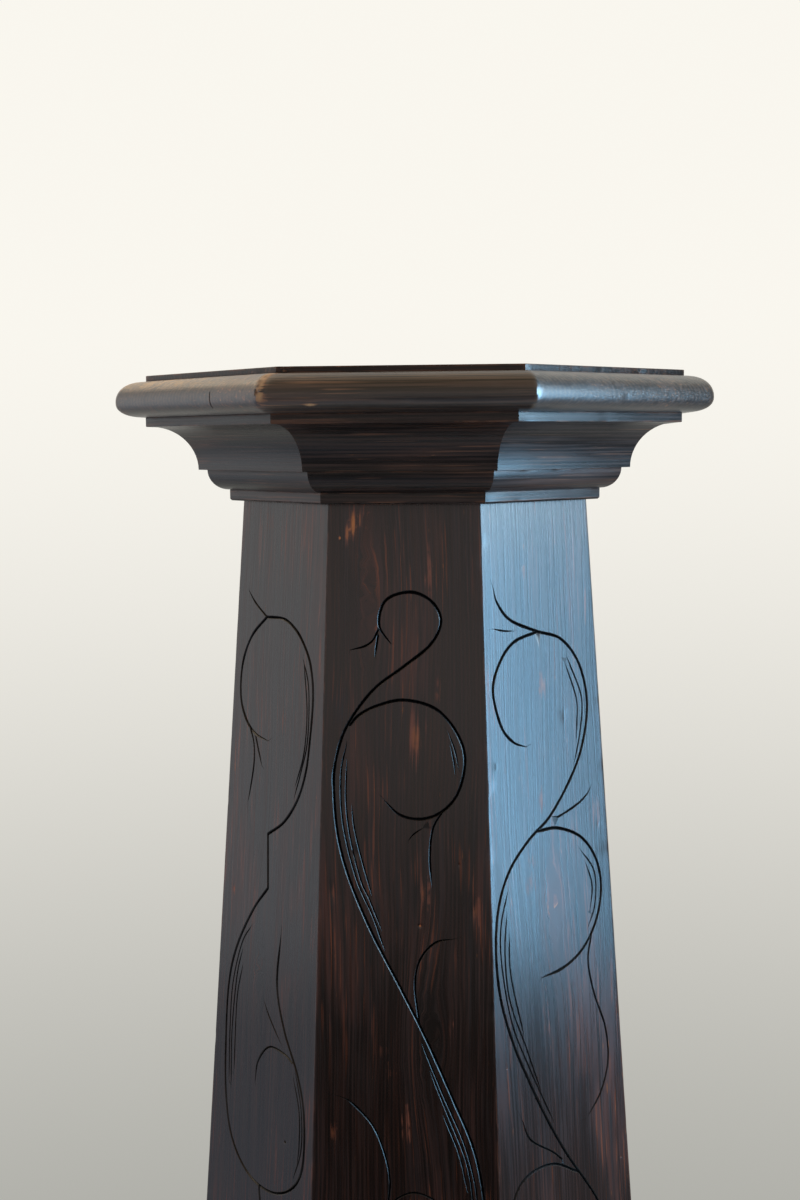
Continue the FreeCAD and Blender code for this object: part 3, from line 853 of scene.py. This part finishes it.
def strip_shape(foot, head, face):
    return [
        (face - STRIP_BEVEL, foot, 0.5 * MM), (face, foot + STRIP_BEVEL, 0.5 * MM),
        (face, head, 0.4 * MM)]


def base_shape(foot, head, face):
    root = Vector((face - BASE_QUIRK, foot + BASE_BAND_RISE))
    tip = Vector((root.x - BASE_HOLLOW_RUN, head - BASE_LIP_RISE))
    radius = bow_radius(root.x - tip.x, tip.y - root.y)
    hollow = arc(Vector((tip.x + radius, tip.y)), root, tip, BASE_PARTS)
    return [
        (face, foot, 0.6 * MM), (face, foot + BASE_BAND_RISE, 0.8 * MM), (root.x, root.y, 0),
        *hollow, (tip.x, tip.y, 0), (tip.x, head, 1.2 * MM)]


def plinth_shape(foot, head, face):
    return [
        (face, foot, 1.2 * MM), *((face, foot + head * share, 0) for share in PLINTH_ROWS),
        (face, head - PLINTH_BEVEL, 0.8 * MM), (face - PLINTH_BEVEL, head, 0.6 * MM)]


MOULDINGS = (
    ("cove_moulding", "cove_length", cove_shape, 40),
    ("ovolo_moulding", "ovolo_length", ovolo_shape, 36),
    ("necking_strip", "neck_strip", strip_shape, 36),
    ("base_moulding", "base_length", base_shape, 44),
    ("plinth_board", "plinth_length", plinth_shape, 44),
)


# ------------------------ top board and panel

TOP_FOOT, TOP_HEAD = levels("top_board")
PANEL_REACH = reach("top_panel")
BOARD_SKEW = math.radians(0.9)
PANEL_SKEW = math.radians(1.3)

NOSE_DEPTH = 23 * MM
TIP_RISE = 12.3 * MM
FULL_BELOW, FULL_ABOVE = 2.35, 2.2
NOSE_PARTS = 12

# Places along a side are shares of its half length, and levels are above the board's foot.
NOSE_WAVE, NOSE_DENT, NOSE_CORNER = 0.15 * MM, 1.2 * MM, 0.5 * MM
TORN_RUN, TORN_HEAD, TORN_DEPTH = 9 * MM, 12 * MM, 1.5 * MM
PIT_LEVEL, PIT_HALF, PIT_DEPTH = 14 * MM, 2 * MM, 1.6 * MM
CRACK, CRACK_HALF, CRACK_DEPTH = 0.40, 0.006, 1.4 * MM
CRACK_LEVEL, CRACK_REACH = 11 * MM, 6 * MM
RUB, RUB_HALF = -0.62, 0.09
RUB_LEVEL, RUB_RISE = 5.5 * MM, 2.2 * MM
PANEL_CHIP, PANEL_CORNER = 1.2 * MM, 0.4 * MM
LOST, LOST_HALF, LOST_DEPTH = -0.93, 0.04, 1.5 * MM


def make_octagon(name, node, material, outline, shares, worn, skew, rim):
    """A board swept round the axis, closed above and below by flat octagons. shares are the
    places along each side, from -1 up to 1. worn(side, out, share) gives how deep, cut and
    bare each point is. skew is the small angle by which the piece was fixed askew. The
    corners are worn only outside rim."""
    turned = Matrix.Rotation(skew, 3, "Z")
    points, marks = [], []
    for side in SIDE_OF.values():
        for share in shares:
            for out, edge in outline:
                away, cut, bare = worn(side, out, share)
                point = place(side, share * out.x * HALF_TAN, out.x - away, out.y)
                points.append(turned @ point)
                grain = Vector((point.y, point.x, point.z))
                marks.append((grain, max(edge, abs(share) ** 40 * (out.x > rim)), cut, bare))
    size = len(outline)
    rows = SIDES * len(shares)
    faces = sweep_faces(rows, size, round_rows=True, round_size=False)
    faces.append(tuple(row * size + size - 1 for row in range(rows)))
    faces.append(tuple(row * size for row in reversed(range(rows))))
    piece = new_piece(name, points, faces, marks, UP)
    dress(piece, material, "top_wood", node)


def even_shares(steps):
    return [2 * step / steps - 1 for step in range(steps)]


def nose_outline():
    """The top board's rounded edge, a little fuller below its tip than above."""
    root = reach("top_board") - NOSE_DEPTH
    inner = root - 6 * MM
    above_tip = TOP_HEAD - TOP_FOOT - TIP_RISE
    outline = [(inner, TOP_FOOT, 0), (root, TOP_FOOT, 0)]
    for i in range(1 - NOSE_PARTS, NOSE_PARTS):
        turn = math.radians(90 * i / NOSE_PARTS)
        rise, full = (-TIP_RISE, FULL_BELOW) if i < 0 else (above_tip, FULL_ABOVE)
        out = root + NOSE_DEPTH * math.cos(turn) ** (2 / full)
        level = TOP_FOOT + TIP_RISE + rise * abs(math.sin(turn)) ** (2 / full)
        outline.append((out, level, 0))
    return eased(outline + [(root, TOP_HEAD, 0), (inner, TOP_HEAD, 0)])


def nose_wear(side, out, share):
    """Waves and dents all round, the corner that is torn out, a crack and a rubbed place."""
    spot = place(side, share * out.x * HALF_TAN, out.x, out.y)
    level = out.y - TOP_FOOT
    away = NOSE_WAVE * wobble(spot.x * 16, spot.y * 16, level * 60)
    away += nicks(0.46, NOSE_DENT, spot.x * 60, spot.y * 60, level * 110 + 7)
    away += NOSE_CORNER * abs(share) ** 60
    cut, bare = 0.0, 0.0
    if side.name == "front":
        torn = near((share + 1) * out.x * HALF_TAN, 0, TORN_RUN)
        hatch = 0.5 + wobble(share * 40, level * 700, 3.1)
        pit = near(level, PIT_LEVEL, PIT_HALF)
        away += torn * (TORN_DEPTH * max(0.0, hatch) + PIT_DEPTH * pit)
        cut = torn * max(0.8 * pit, max(0.0, 0.5 - hatch) * 1.2)
        bare = min(1.0, torn * 1.5) * min(1.0, level / TORN_HEAD)
        rubbed = math.hypot((share - RUB) / RUB_HALF, (level - RUB_LEVEL) / RUB_RISE)
        bare = max(bare, 0.9 * max(0.0, 1.2 - rubbed))
    if side.name == "front_left":
        cut = near(share, CRACK, CRACK_HALF) * (abs(level - CRACK_LEVEL) < CRACK_REACH)
        away += CRACK_DEPTH * cut
    inside = min(1.0, max(0.0, (out.x - PANEL_REACH) / (3 * MM)))
    return away * inside, cut * inside, bare * inside


def panel_outline():
    foot, head = levels("top_panel")
    inner = PANEL_REACH - 30 * MM
    return eased([
        (inner, foot, 0), (PANEL_REACH, foot, 0.3 * MM), (PANEL_REACH, head, 0.7 * MM),
        (inner, head, 0)])


def panel_wear(side, out, share):
    """Chips all round, worn corners, and the splinter lost by the front's left corner."""
    spot = place(side, share * out.x * HALF_TAN, out.x, out.y)
    rim = near(out.x, PANEL_REACH, 4 * MM)
    lost = near(share, LOST, LOST_HALF) * (side.name == "front")
    away = nicks(0.35, PANEL_CHIP, spot.x * 45, spot.y * 45, 3.3)
    away += PANEL_CORNER * abs(share) ** 40 + LOST_DEPTH * lost
    return rim * away, 0.0, lost * rim


def make_top(board_wood, panel_wood):
    beside = CRACK_HALF + 0.0005
    shares = even_shares(90) + [CRACK - beside, CRACK, CRACK + beside]
    shares = sorted({round(share, 4) for share in shares})
    make_octagon(
        "nosed_top_board", "top_board", board_wood, nose_outline(), shares, nose_wear,
        BOARD_SKEW, PANEL_REACH + 3 * MM)
    make_octagon(
        "thin_top_panel", "top_panel", panel_wood, panel_outline(), even_shares(70), panel_wear,
        PANEL_SKEW, PANEL_REACH - MM)


# ------------------------ materials
# These helpers add to the node tree of the sockets that they are given. A value is a number
# or colour, or another node's output.

def feed(socket, value):
    """Sets an input, or links it where the value is another node's output."""
    if isinstance(value, bpy.types.NodeSocket):
        socket.id_data.links.new(value, socket)
    else:
        socket.default_value = (*value, 1) if socket.type == "RGBA" else value


def set_inputs(node, **inputs):
    for name, value in inputs.items():
        feed(node.inputs[name.replace("_", " ")], value)


def add_node(tree, kind, settings=None, **inputs):
    made = tree.nodes.new(kind)
    for name, value in (settings or {}).items():
        setattr(made, name, value)
    set_inputs(made, **inputs)
    return made


def combine(operation, a, b):
    tree = (a if isinstance(a, bpy.types.NodeSocket) else b).id_data
    made = add_node(tree, "ShaderNodeMath", {"operation": operation})
    feed(made.inputs[0], a)
    feed(made.inputs[1], b)
    return made.outputs[0]


def times(a, b):
    return combine("MULTIPLY", a, b)


def plus(a, b):
    return combine("ADD", a, b)


def between(value, low, high, to_low=0.0, to_high=1.0):
    """value carried from low..high to to_low..to_high, and held there outside."""
    made = add_node(
        value.id_data, "ShaderNodeMapRange", {"interpolation_type": "SMOOTHSTEP"}, Value=value,
        From_Min=low, From_Max=high, To_Min=to_low, To_Max=to_high)
    return made.outputs["Result"]


def blend(a, b, share):
    made = add_node(share.id_data, "ShaderNodeMix", {"data_type": "RGBA"})
    for number, value in ((0, share), (6, a), (7, b)):
        feed(made.inputs[number], value)
    return made.outputs[2]


def attribute(shader, name, output="Fac"):
    """What a mesh attribute holds at the shaded point."""
    made = add_node(shader.id_data, "ShaderNodeAttribute", {"attribute_name": name})
    return made.outputs[output]


def own_place(shader):
    """The shaded point's place in its object, in metres."""
    return add_node(shader.id_data, "ShaderNodeTexCoord").outputs["Object"]


def stretched_noise(grain, scale, detail=4.0, rough=0.6, distortion=0.0, shift=(0, 0, 0)):
    """Noise whose size across, along and into the wood is set by scale, in cycles a metre."""
    tree = grain.id_data
    mapping = add_node(tree, "ShaderNodeMapping", Vector=grain, Scale=scale, Location=shift)
    made = add_node(
        tree, "ShaderNodeTexNoise", Vector=mapping.outputs[0], Scale=1.0, Detail=detail,
        Roughness=rough, Distortion=distortion)
    return made.outputs["Fac"]


# How far apart a wave texture's bands are where its scale is 1.
WAVE_PERIOD = 0.314


def growth_rings(grain, apart, wander):
    """Bands across the grain, this far apart, that wander as growth rings do."""
    tree = grain.id_data
    turns = WAVE_PERIOD / apart
    scale = (turns, turns * 0.02, turns * 0.3)
    mapping = add_node(tree, "ShaderNodeMapping", Vector=grain, Scale=scale)
    made = add_node(
        tree, "ShaderNodeTexWave", Vector=mapping.outputs[0], Scale=1.0, Distortion=wander,
        Detail=2.0, Detail_Scale=0.5)
    return made.outputs["Fac"]


def bumped(height, distance, strength=0.5):
    made = add_node(
        height.id_data, "ShaderNodeBump", Strength=strength, Distance=distance, Height=height)
    return made.outputs[0]


def new_material(name):
    """A material and its shader node."""
    material = bpy.data.materials.new(name)
    material.use_nodes = True
    return material, material.node_tree.nodes["Principled BSDF"]


# The colours of a stain, how much its growth rings show, and the tones between which it
# goes from dark to mid.
Stain = namedtuple("Stain", "dark mid patch streak fleck worn rings tones")
COLUMN_STAIN = Stain(
    dark=(0.0055, 0.0019, 0.0009), mid=(0.027, 0.0066, 0.0030), patch=(0.076, 0.017, 0.008),
    streak=(0.155, 0.030, 0.008), fleck=(0.47, 0.115, 0.014), worn=(0.095, 0.030, 0.016),
    rings=0.15, tones=(0.40, 0.68))
MOULDING_STAIN = Stain(
    dark=(0.0036, 0.0022, 0.0019), mid=(0.036, 0.017, 0.0125), patch=(0.070, 0.026, 0.016),
    streak=(0.130, 0.048, 0.024), fleck=(0.36, 0.14, 0.060), worn=(0.110, 0.038, 0.019),
    rings=0.2, tones=(0.42, 0.64))
TOP_STAIN = Stain(
    dark=(0.0045, 0.0028, 0.0022), mid=(0.060, 0.029, 0.018), patch=(0.085, 0.034, 0.019),
    streak=(0.220, 0.085, 0.036), fleck=(0.50, 0.25, 0.105), worn=(0.13, 0.070, 0.036),
    rings=0.2, tones=(0.44, 0.60))
# The nose's pale top: finish rubbed thin, and painted warm light from above and the left.
RUBBED_AND_LIT_WOOD = (0.66, 0.43, 0.225)
# Nearly black in cuts, cracks, pits and dark marks: darker stain, and painted shade in hollows.
STAIN_AND_SHADE_IN_CUTS = (0.0016, 0.0012, 0.0012)


# The noises in the wood: cycles a metre across, along and into it, and then each one's detail,
# roughness, distortion and shift.
FIGURE = {
    "fibres": ((540, 8, 540), 4, 0.62),
    "veins": ((230, 7, 230), 4, 0.6, 0.15, (5, 1, 8)),
    "bands": ((75, 3.2, 75), 4, 0.6, 0.8),
    "blotches": ((16, 4.5, 16), 3, 0.55, 0.4, (3, 5, 7)),
    "streaks": ((480, 13, 480), 2, 0.5, 0.1, (11, 2, 5)),
    "flecks": ((520, 60, 520), 2, 0.5, 0.0, (7, 7, 1)),
    "patchy": ((60, 40, 60), 3, 0.55, 0.0, (2, 6, 9)),
    "uneven": ((60, 3, 60), 3, 0.6, 0.3, (9, 4, 2)),
}
RING_STEP, RING_WANDER = 3.2 * MM, 5.0


def wood_figure(shader):
    """The noises in the wood and the mesh's attributes, by name."""
    grain = attribute(shader, "grain", "Vector")
    made = {label: attribute(shader, label) for label in ("edge", "cut", "bare")}
    made.update({label: stretched_noise(grain, *layer) for label, layer in FIGURE.items()})
    return SimpleNamespace(grain=grain, **made)


def wood_tone(wood, rings_show):
    """How dark or light the wood takes the stain from place to place."""
    tone = plus(plus(times(wood.fibres, 0.60), times(wood.veins, 0.20)), times(wood.bands, 0.20))
    rings = combine("SUBTRACT", growth_rings(wood.grain, RING_STEP, RING_WANDER), 0.5)
    return plus(tone, times(rings, rings_show * 0.5))


def worn_thin(wood):
    """Where the stain is gone in a bare mark, with a border that is ragged along the grain."""
    ragged = plus(times(wood.veins, 2.4), times(wood.fibres, 2.0))
    return times(between(plus(wood.bare, ragged), 2.5, 3.1), between(wood.bare, 0.0, 0.12))


def stain_colour(wood, stain, tone, thin):
    """The stain with its red patches, streaks and flecks, its bare marks and its worn edges."""
    colour = blend(stain.dark, stain.mid, between(tone, *stain.tones))
    reddened = times(between(wood.blotches, 0.50, 0.70), between(wood.veins, 0.36, 0.62))
    colour = blend(colour, stain.patch, times(reddened, 0.7))
    clusters = between(wood.blotches, 0.42, 0.64, 0.10, 0.85)
    streaked = times(between(wood.streaks, 0.58, 0.69), clusters)
    colour = blend(colour, stain.streak, streaked)
    flecked = times(between(wood.flecks, 0.70, 0.78), between(wood.streaks, 0.50, 0.62))
    colour = blend(colour, stain.fleck, times(flecked, clusters))
    colour = blend(colour, stain.streak, thin)
    colour = blend(colour, stain.fleck, times(thin, between(wood.bare, 0.45, 1.0)))
    rubbed = times(between(wood.edge, 0.35, 1.0), between(wood.patchy, 0.46, 0.62, 0.1, 0.9))
    return blend(colour, stain.worn, rubbed)


def rubbed_and_lit_pale(wood, tone, rubbed_and_lit_levels):
    """Paler high up, most of all at the left end: rubbed finish and painted warm light."""
    parts = add_node(tone.id_data, "ShaderNodeSeparateXYZ", Vector=wood.grain).outputs
    paler = times(between(parts["Z"], *rubbed_and_lit_levels), between(tone, 0.44, 0.58, 0.2, 1.0))
    return times(paler, between(parts["Y"], -0.20, -0.09, 1.0, 0.16))


def stained_wood(name, stain, shine, rough, drawn_out, rubbed_and_lit_levels=None):
    """Softwood under a nearly black stain that has worn thin, with a satin varnish. shine is
    the varnish's index of refraction, rough the range of its roughness, and drawn_out how far
    its gloss is drawn out across the grain. rubbed_and_lit_levels is the levels between which
    it grows paler and paler: the finish rubbed by hands, and painted warm light."""
    material, shader = new_material(name)
    wood = wood_figure(shader)
    tone = wood_tone(wood, stain.rings)
    thin = worn_thin(wood)
    colour = stain_colour(wood, stain, tone, thin)
    dull = plus(times(wood.fibres, 0.55), times(wood.uneven, 0.20))
    dull = between(plus(dull, times(wood.blotches, 0.25)), 0.40, 0.62, *rough)
    if rubbed_and_lit_levels:
        paler = rubbed_and_lit_pale(wood, tone, rubbed_and_lit_levels)
        # Paler top: rubbed finish, and painted warm light.
        colour = blend(colour, RUBBED_AND_LIT_WOOD, paler)
        dull = plus(dull, times(paler, 0.18))
    # Nearly black in cuts and dark marks: darker stain, and painted shade in the hollows.
    colour = blend(colour, STAIN_AND_SHADE_IN_CUTS, between(wood.cut, 0.1, 0.6, 0, 0.95))
    dull = plus(plus(dull, times(thin, 0.12)), times(wood.cut, 0.4))
    height = plus(times(wood.fibres, 0.8), times(wood.veins, 0.06))
    set_inputs(
        shader, Base_Color=colour, Roughness=dull, IOR=shine, Anisotropic=drawn_out,
        Tangent=attribute(shader, "spread", "Vector"), Normal=bumped(height, 0.35 * MM))
    return material


def cut_wood(name):
    """The walls of the carved lines: reddish at the rim, and inside nearly black stain and painted
    shade.
    """
    material, shader = new_material(name)
    torn = stretched_noise(attribute(shader, "grain", "Vector"), (500, 200, 500), 3, 0.6)
    near_rim = between(attribute(shader, "cut"), 0.0, 0.3, 1.0, 0.0)
    rim = times(near_rim, between(torn, 0.45, 0.6))
    set_inputs(
        shader, Base_Color=blend((0.0022, 0.0016, 0.0015), (0.050, 0.017, 0.010), rim),
        Roughness=between(torn, 0.3, 0.7, 0.24, 0.42), IOR=1.45, Normal=bumped(torn, 0.25 * MM))
    return material


def pale_wood(name):
    """Plain planed softwood, for the boards and cleats inside."""
    material, shader = new_material(name)
    grain = own_place(shader)
    bands = stretched_noise(grain, (3, 110, 110), 3, 0.5, 0.5)
    fibres = stretched_noise(grain, (20, 900, 900), 4, 0.6)
    colour = blend((0.46, 0.30, 0.16), (0.30, 0.165, 0.078), between(bands, 0.4, 0.65))
    colour = blend(colour, (0.21, 0.115, 0.055), between(fibres, 0.5, 0.8, 0, 0.5))
    set_inputs(
        shader, Base_Color=colour, Roughness=between(fibres, 0.3, 0.7, 0.55, 0.75),
        Normal=bumped(fibres, 0.2 * MM, 0.3))
    return material


def screw_steel(name):
    material, shader = new_material(name)
    tarnish = stretched_noise(own_place(shader), (700, 700, 700), 4)
    colour = blend((0.50, 0.47, 0.42), (0.24, 0.20, 0.16), between(tarnish, 0.45, 0.7))
    set_inputs(
        shader, Base_Color=colour, Roughness=between(tarnish, 0.3, 0.7, 0.28, 0.5), Metallic=1.0)
    return material


FLOOR_RADIUS = 0.75
FLOOR_FADE = (0.42, 0.74)


def floor_paint(name):
    """Pale paint that fades out towards the floor's rim, and isn't there from below."""
    material, shader = new_material(name)
    tree = shader.id_data
    spot = own_place(shader)
    mottle = stretched_noise(spot, (3, 3, 3), 3)
    away = add_node(tree, "ShaderNodeVectorMath", {"operation": "LENGTH"})
    feed(away.inputs[0], spot)
    inside = between(away.outputs["Value"], *FLOOR_FADE, 1.0, 0.0)
    above = combine("SUBTRACT", 1.0, add_node(tree, "ShaderNodeNewGeometry").outputs["Backfacing"])
    set_inputs(
        shader, Base_Color=blend((0.61, 0.54, 0.465), (0.65, 0.58, 0.505), mottle),
        Alpha=times(inside, above), Roughness=0.9, Specular_IOR_Level=0.2)
    return material


# ------------------------ floor, light and world

FLOOR_PARTS = 96
FLOOR_DROP = 0.3 * MM
FLOOR_RINGS = 4


def make_floor(material):
    """A round floor of rings of faces, a hair below the stand."""
    points = [(0, 0, -FLOOR_DROP)]
    for ring in range(1, FLOOR_RINGS + 1):
        radius = FLOOR_RADIUS * ring / FLOOR_RINGS
        for i in range(FLOOR_PARTS):
            angle = 2 * math.pi * i / FLOOR_PARTS
            points.append((radius * math.cos(angle), radius * math.sin(angle), -FLOOR_DROP))
    faces = [(0, 1 + i, 1 + (i + 1) % FLOOR_PARTS) for i in range(FLOOR_PARTS)]
    faces += sweep_faces(FLOOR_RINGS, FLOOR_PARTS, first=1)
    mesh = bpy.data.meshes.new("floor")
    mesh.from_pydata(points, [], faces)
    mesh.materials.append(material)
    floor = bpy.data.objects.new("floor", mesh)
    bpy.context.scene.collection.objects.link(floor)


# A soft rectangular lamp's place, the point that it faces, its size, its brightness where 1
# is white, and its tint. The windows are to the right, and the dim side of the room to the left.
LAMPS = {
    "window_upper": ((2.5, -0.84, 1.80), (0, -0.84, 1.80), (1.22, 1.2), 5.6, (0.34, 0.68, 1.0)),
    "window_lower": ((2.5, -0.84, 0.86), (0, -0.84, 0.86), (1.22, 1.50), 16.0, (0.31, 0.66, 1.0)),
    "window_pane": ((2.45, -0.62, 1.46), (0, -0.62, 1.46), (0.84, 0.56), 15.0, (0.62, 0.84, 1.0)),
    "left_strip": ((-2.4, 0.30, 1.22), (0, 0.30, 1.22), (0.9, 2.4), 0.50, (0.92, 0.96, 1.0)),
    "room_side": ((-2.4, -1.1, 1.0), (0, -0.9, 1.0), (1.6, 2.8), 0.6, (0.86, 0.93, 1.0)),
    "overhead": ((-1.15, 0.25, 2.65), (-0.2, 0, 1.15), (1.5, 1.4), 2.2, (1.0, 0.82, 0.58)),
}


def make_softbox(name, place_at, aim, size, brightness, tint):
    data = bpy.data.lights.new(name, "AREA")
    data.shape = "RECTANGLE"
    data.size, data.size_y = size
    data.energy = brightness * math.pi * size[0] * size[1]
    data.color = tint
    lamp = bpy.data.objects.new(name, data)
    lamp.location = place_at
    lamp.rotation_euler = (Vector(aim) - Vector(place_at)).to_track_quat("-Z", "Y").to_euler()
    lamp.visible_camera = False
    bpy.context.scene.collection.objects.link(lamp)


def light_the_scene():
    for name, values in LAMPS.items():
        make_softbox(name, *values)


def make_world():
    """The camera sees a cream backdrop that is greyer low down. Reflections see it too where
    it stands behind the object. Elsewhere they see the room: dimmer at the sides and above,
    and dark low down along -Y, where the photographer is. All else gets a dim even light."""
    world = bpy.data.worlds.new("world")
    bpy.context.scene.world = world
    world.use_nodes = True
    tree = world.node_tree
    tree.nodes.clear()
    direction = add_node(tree, "ShaderNodeTexCoord").outputs["Generated"]
    parts = add_node(tree, "ShaderNodeSeparateXYZ", Vector=direction).outputs

    def along(axis, start, end, before, after):
        """Goes from one colour to another between two places on an axis."""
        return blend(before, after, between(parts[axis], start, end))

    backdrop = along("Z", -0.62, 0.10, (0.375, 0.375, 0.345), (0.95, 0.925, 0.86))
    left = along("Z", -0.34, 0.06, (0.28, 0.31, 0.375), (0.62, 0.62, 0.62))
    right = along("Z", -0.34, 0.06, (0.19, 0.16, 0.165), (0.38, 0.39, 0.41))
    front = along("Z", -0.26, -0.04, (0.018, 0.012, 0.009), (0.59, 0.525, 0.49))
    front = along("Z", 0.0, 0.09, front, (0.43, 0.38, 0.36))
    room = along("X", -0.4, 0.4, left, right)
    room = along("Y", -0.93, -0.66, front, room)
    room = along("Z", 0.12, 0.50, room, (0.28, 0.21, 0.14))
    room = along("Y", 0.25, 0.72, room, backdrop)
    path = add_node(tree, "ShaderNodeLightPath").outputs
    shown = blend(room, backdrop, path["Is Camera Ray"])
    seen = combine("MAXIMUM", path["Is Camera Ray"], path["Is Glossy Ray"])
    seen = combine("MAXIMUM", seen, path["Is Transmission Ray"])
    bright = add_node(tree, "ShaderNodeBackground", Color=shown, Strength=1.0)
    even = add_node(tree, "ShaderNodeBackground", Color=(0.30, 0.30, 0.30), Strength=1.0)
    mix = add_node(tree, "ShaderNodeMixShader")
    for socket, value in zip(mix.inputs, (seen, even.outputs[0], bright.outputs[0])):
        feed(socket, value)
    add_node(tree, "ShaderNodeOutputWorld", Surface=mix.outputs[0])


# ------------------------ the whole stand

INSIDE_WOOD = (
    "subtop_board", "middle_board", "bottom_board", "upper_cleats", "middle_cleats", "lower_cleats")
SCREWS = ("top_screws", "bottom_screws")


def finish_inside(nodes, material):
    """Gives CAD nodes that keep their own shape a material."""
    for node in nodes:
        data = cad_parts[node].data
        data.materials.clear()
        data.materials.append(material)


def make_stand():
    column_wood = stained_wood(
        "stained_column_wood", COLUMN_STAIN, shine=1.60, rough=(0.23, 0.34), drawn_out=0.6)
    moulding_wood = stained_wood(
        "stained_moulding_wood", MOULDING_STAIN, shine=1.52, rough=(0.25, 0.36), drawn_out=0.85)
    top_wood = stained_wood(
        "stained_top_wood", TOP_STAIN, shine=1.95, rough=(0.285, 0.365), drawn_out=0.84,
        rubbed_and_lit_levels=(TOP_FOOT + 19 * MM, TOP_HEAD - 2 * MM))
    panel_wood = stained_wood(
        "stained_panel_wood", MOULDING_STAIN, shine=1.45, rough=(0.28, 0.36), drawn_out=0.85)
    carved_wood = cut_wood("carved_column_wood")
    for name in FACES:
        make_board(name, column_wood, carved_wood)
    for moulding in MOULDINGS:
        make_moulding(*moulding, moulding_wood)
    make_top(top_wood, panel_wood)
    finish_inside(INSIDE_WOOD, pale_wood("inner_softwood"))
    finish_inside(SCREWS, screw_steel("screw_steel"))


make_camera()
make_world()
light_the_scene()
make_floor(floor_paint("pale_floor"))
make_stand()
bpy.context.scene.view_settings.view_transform = "Standard"
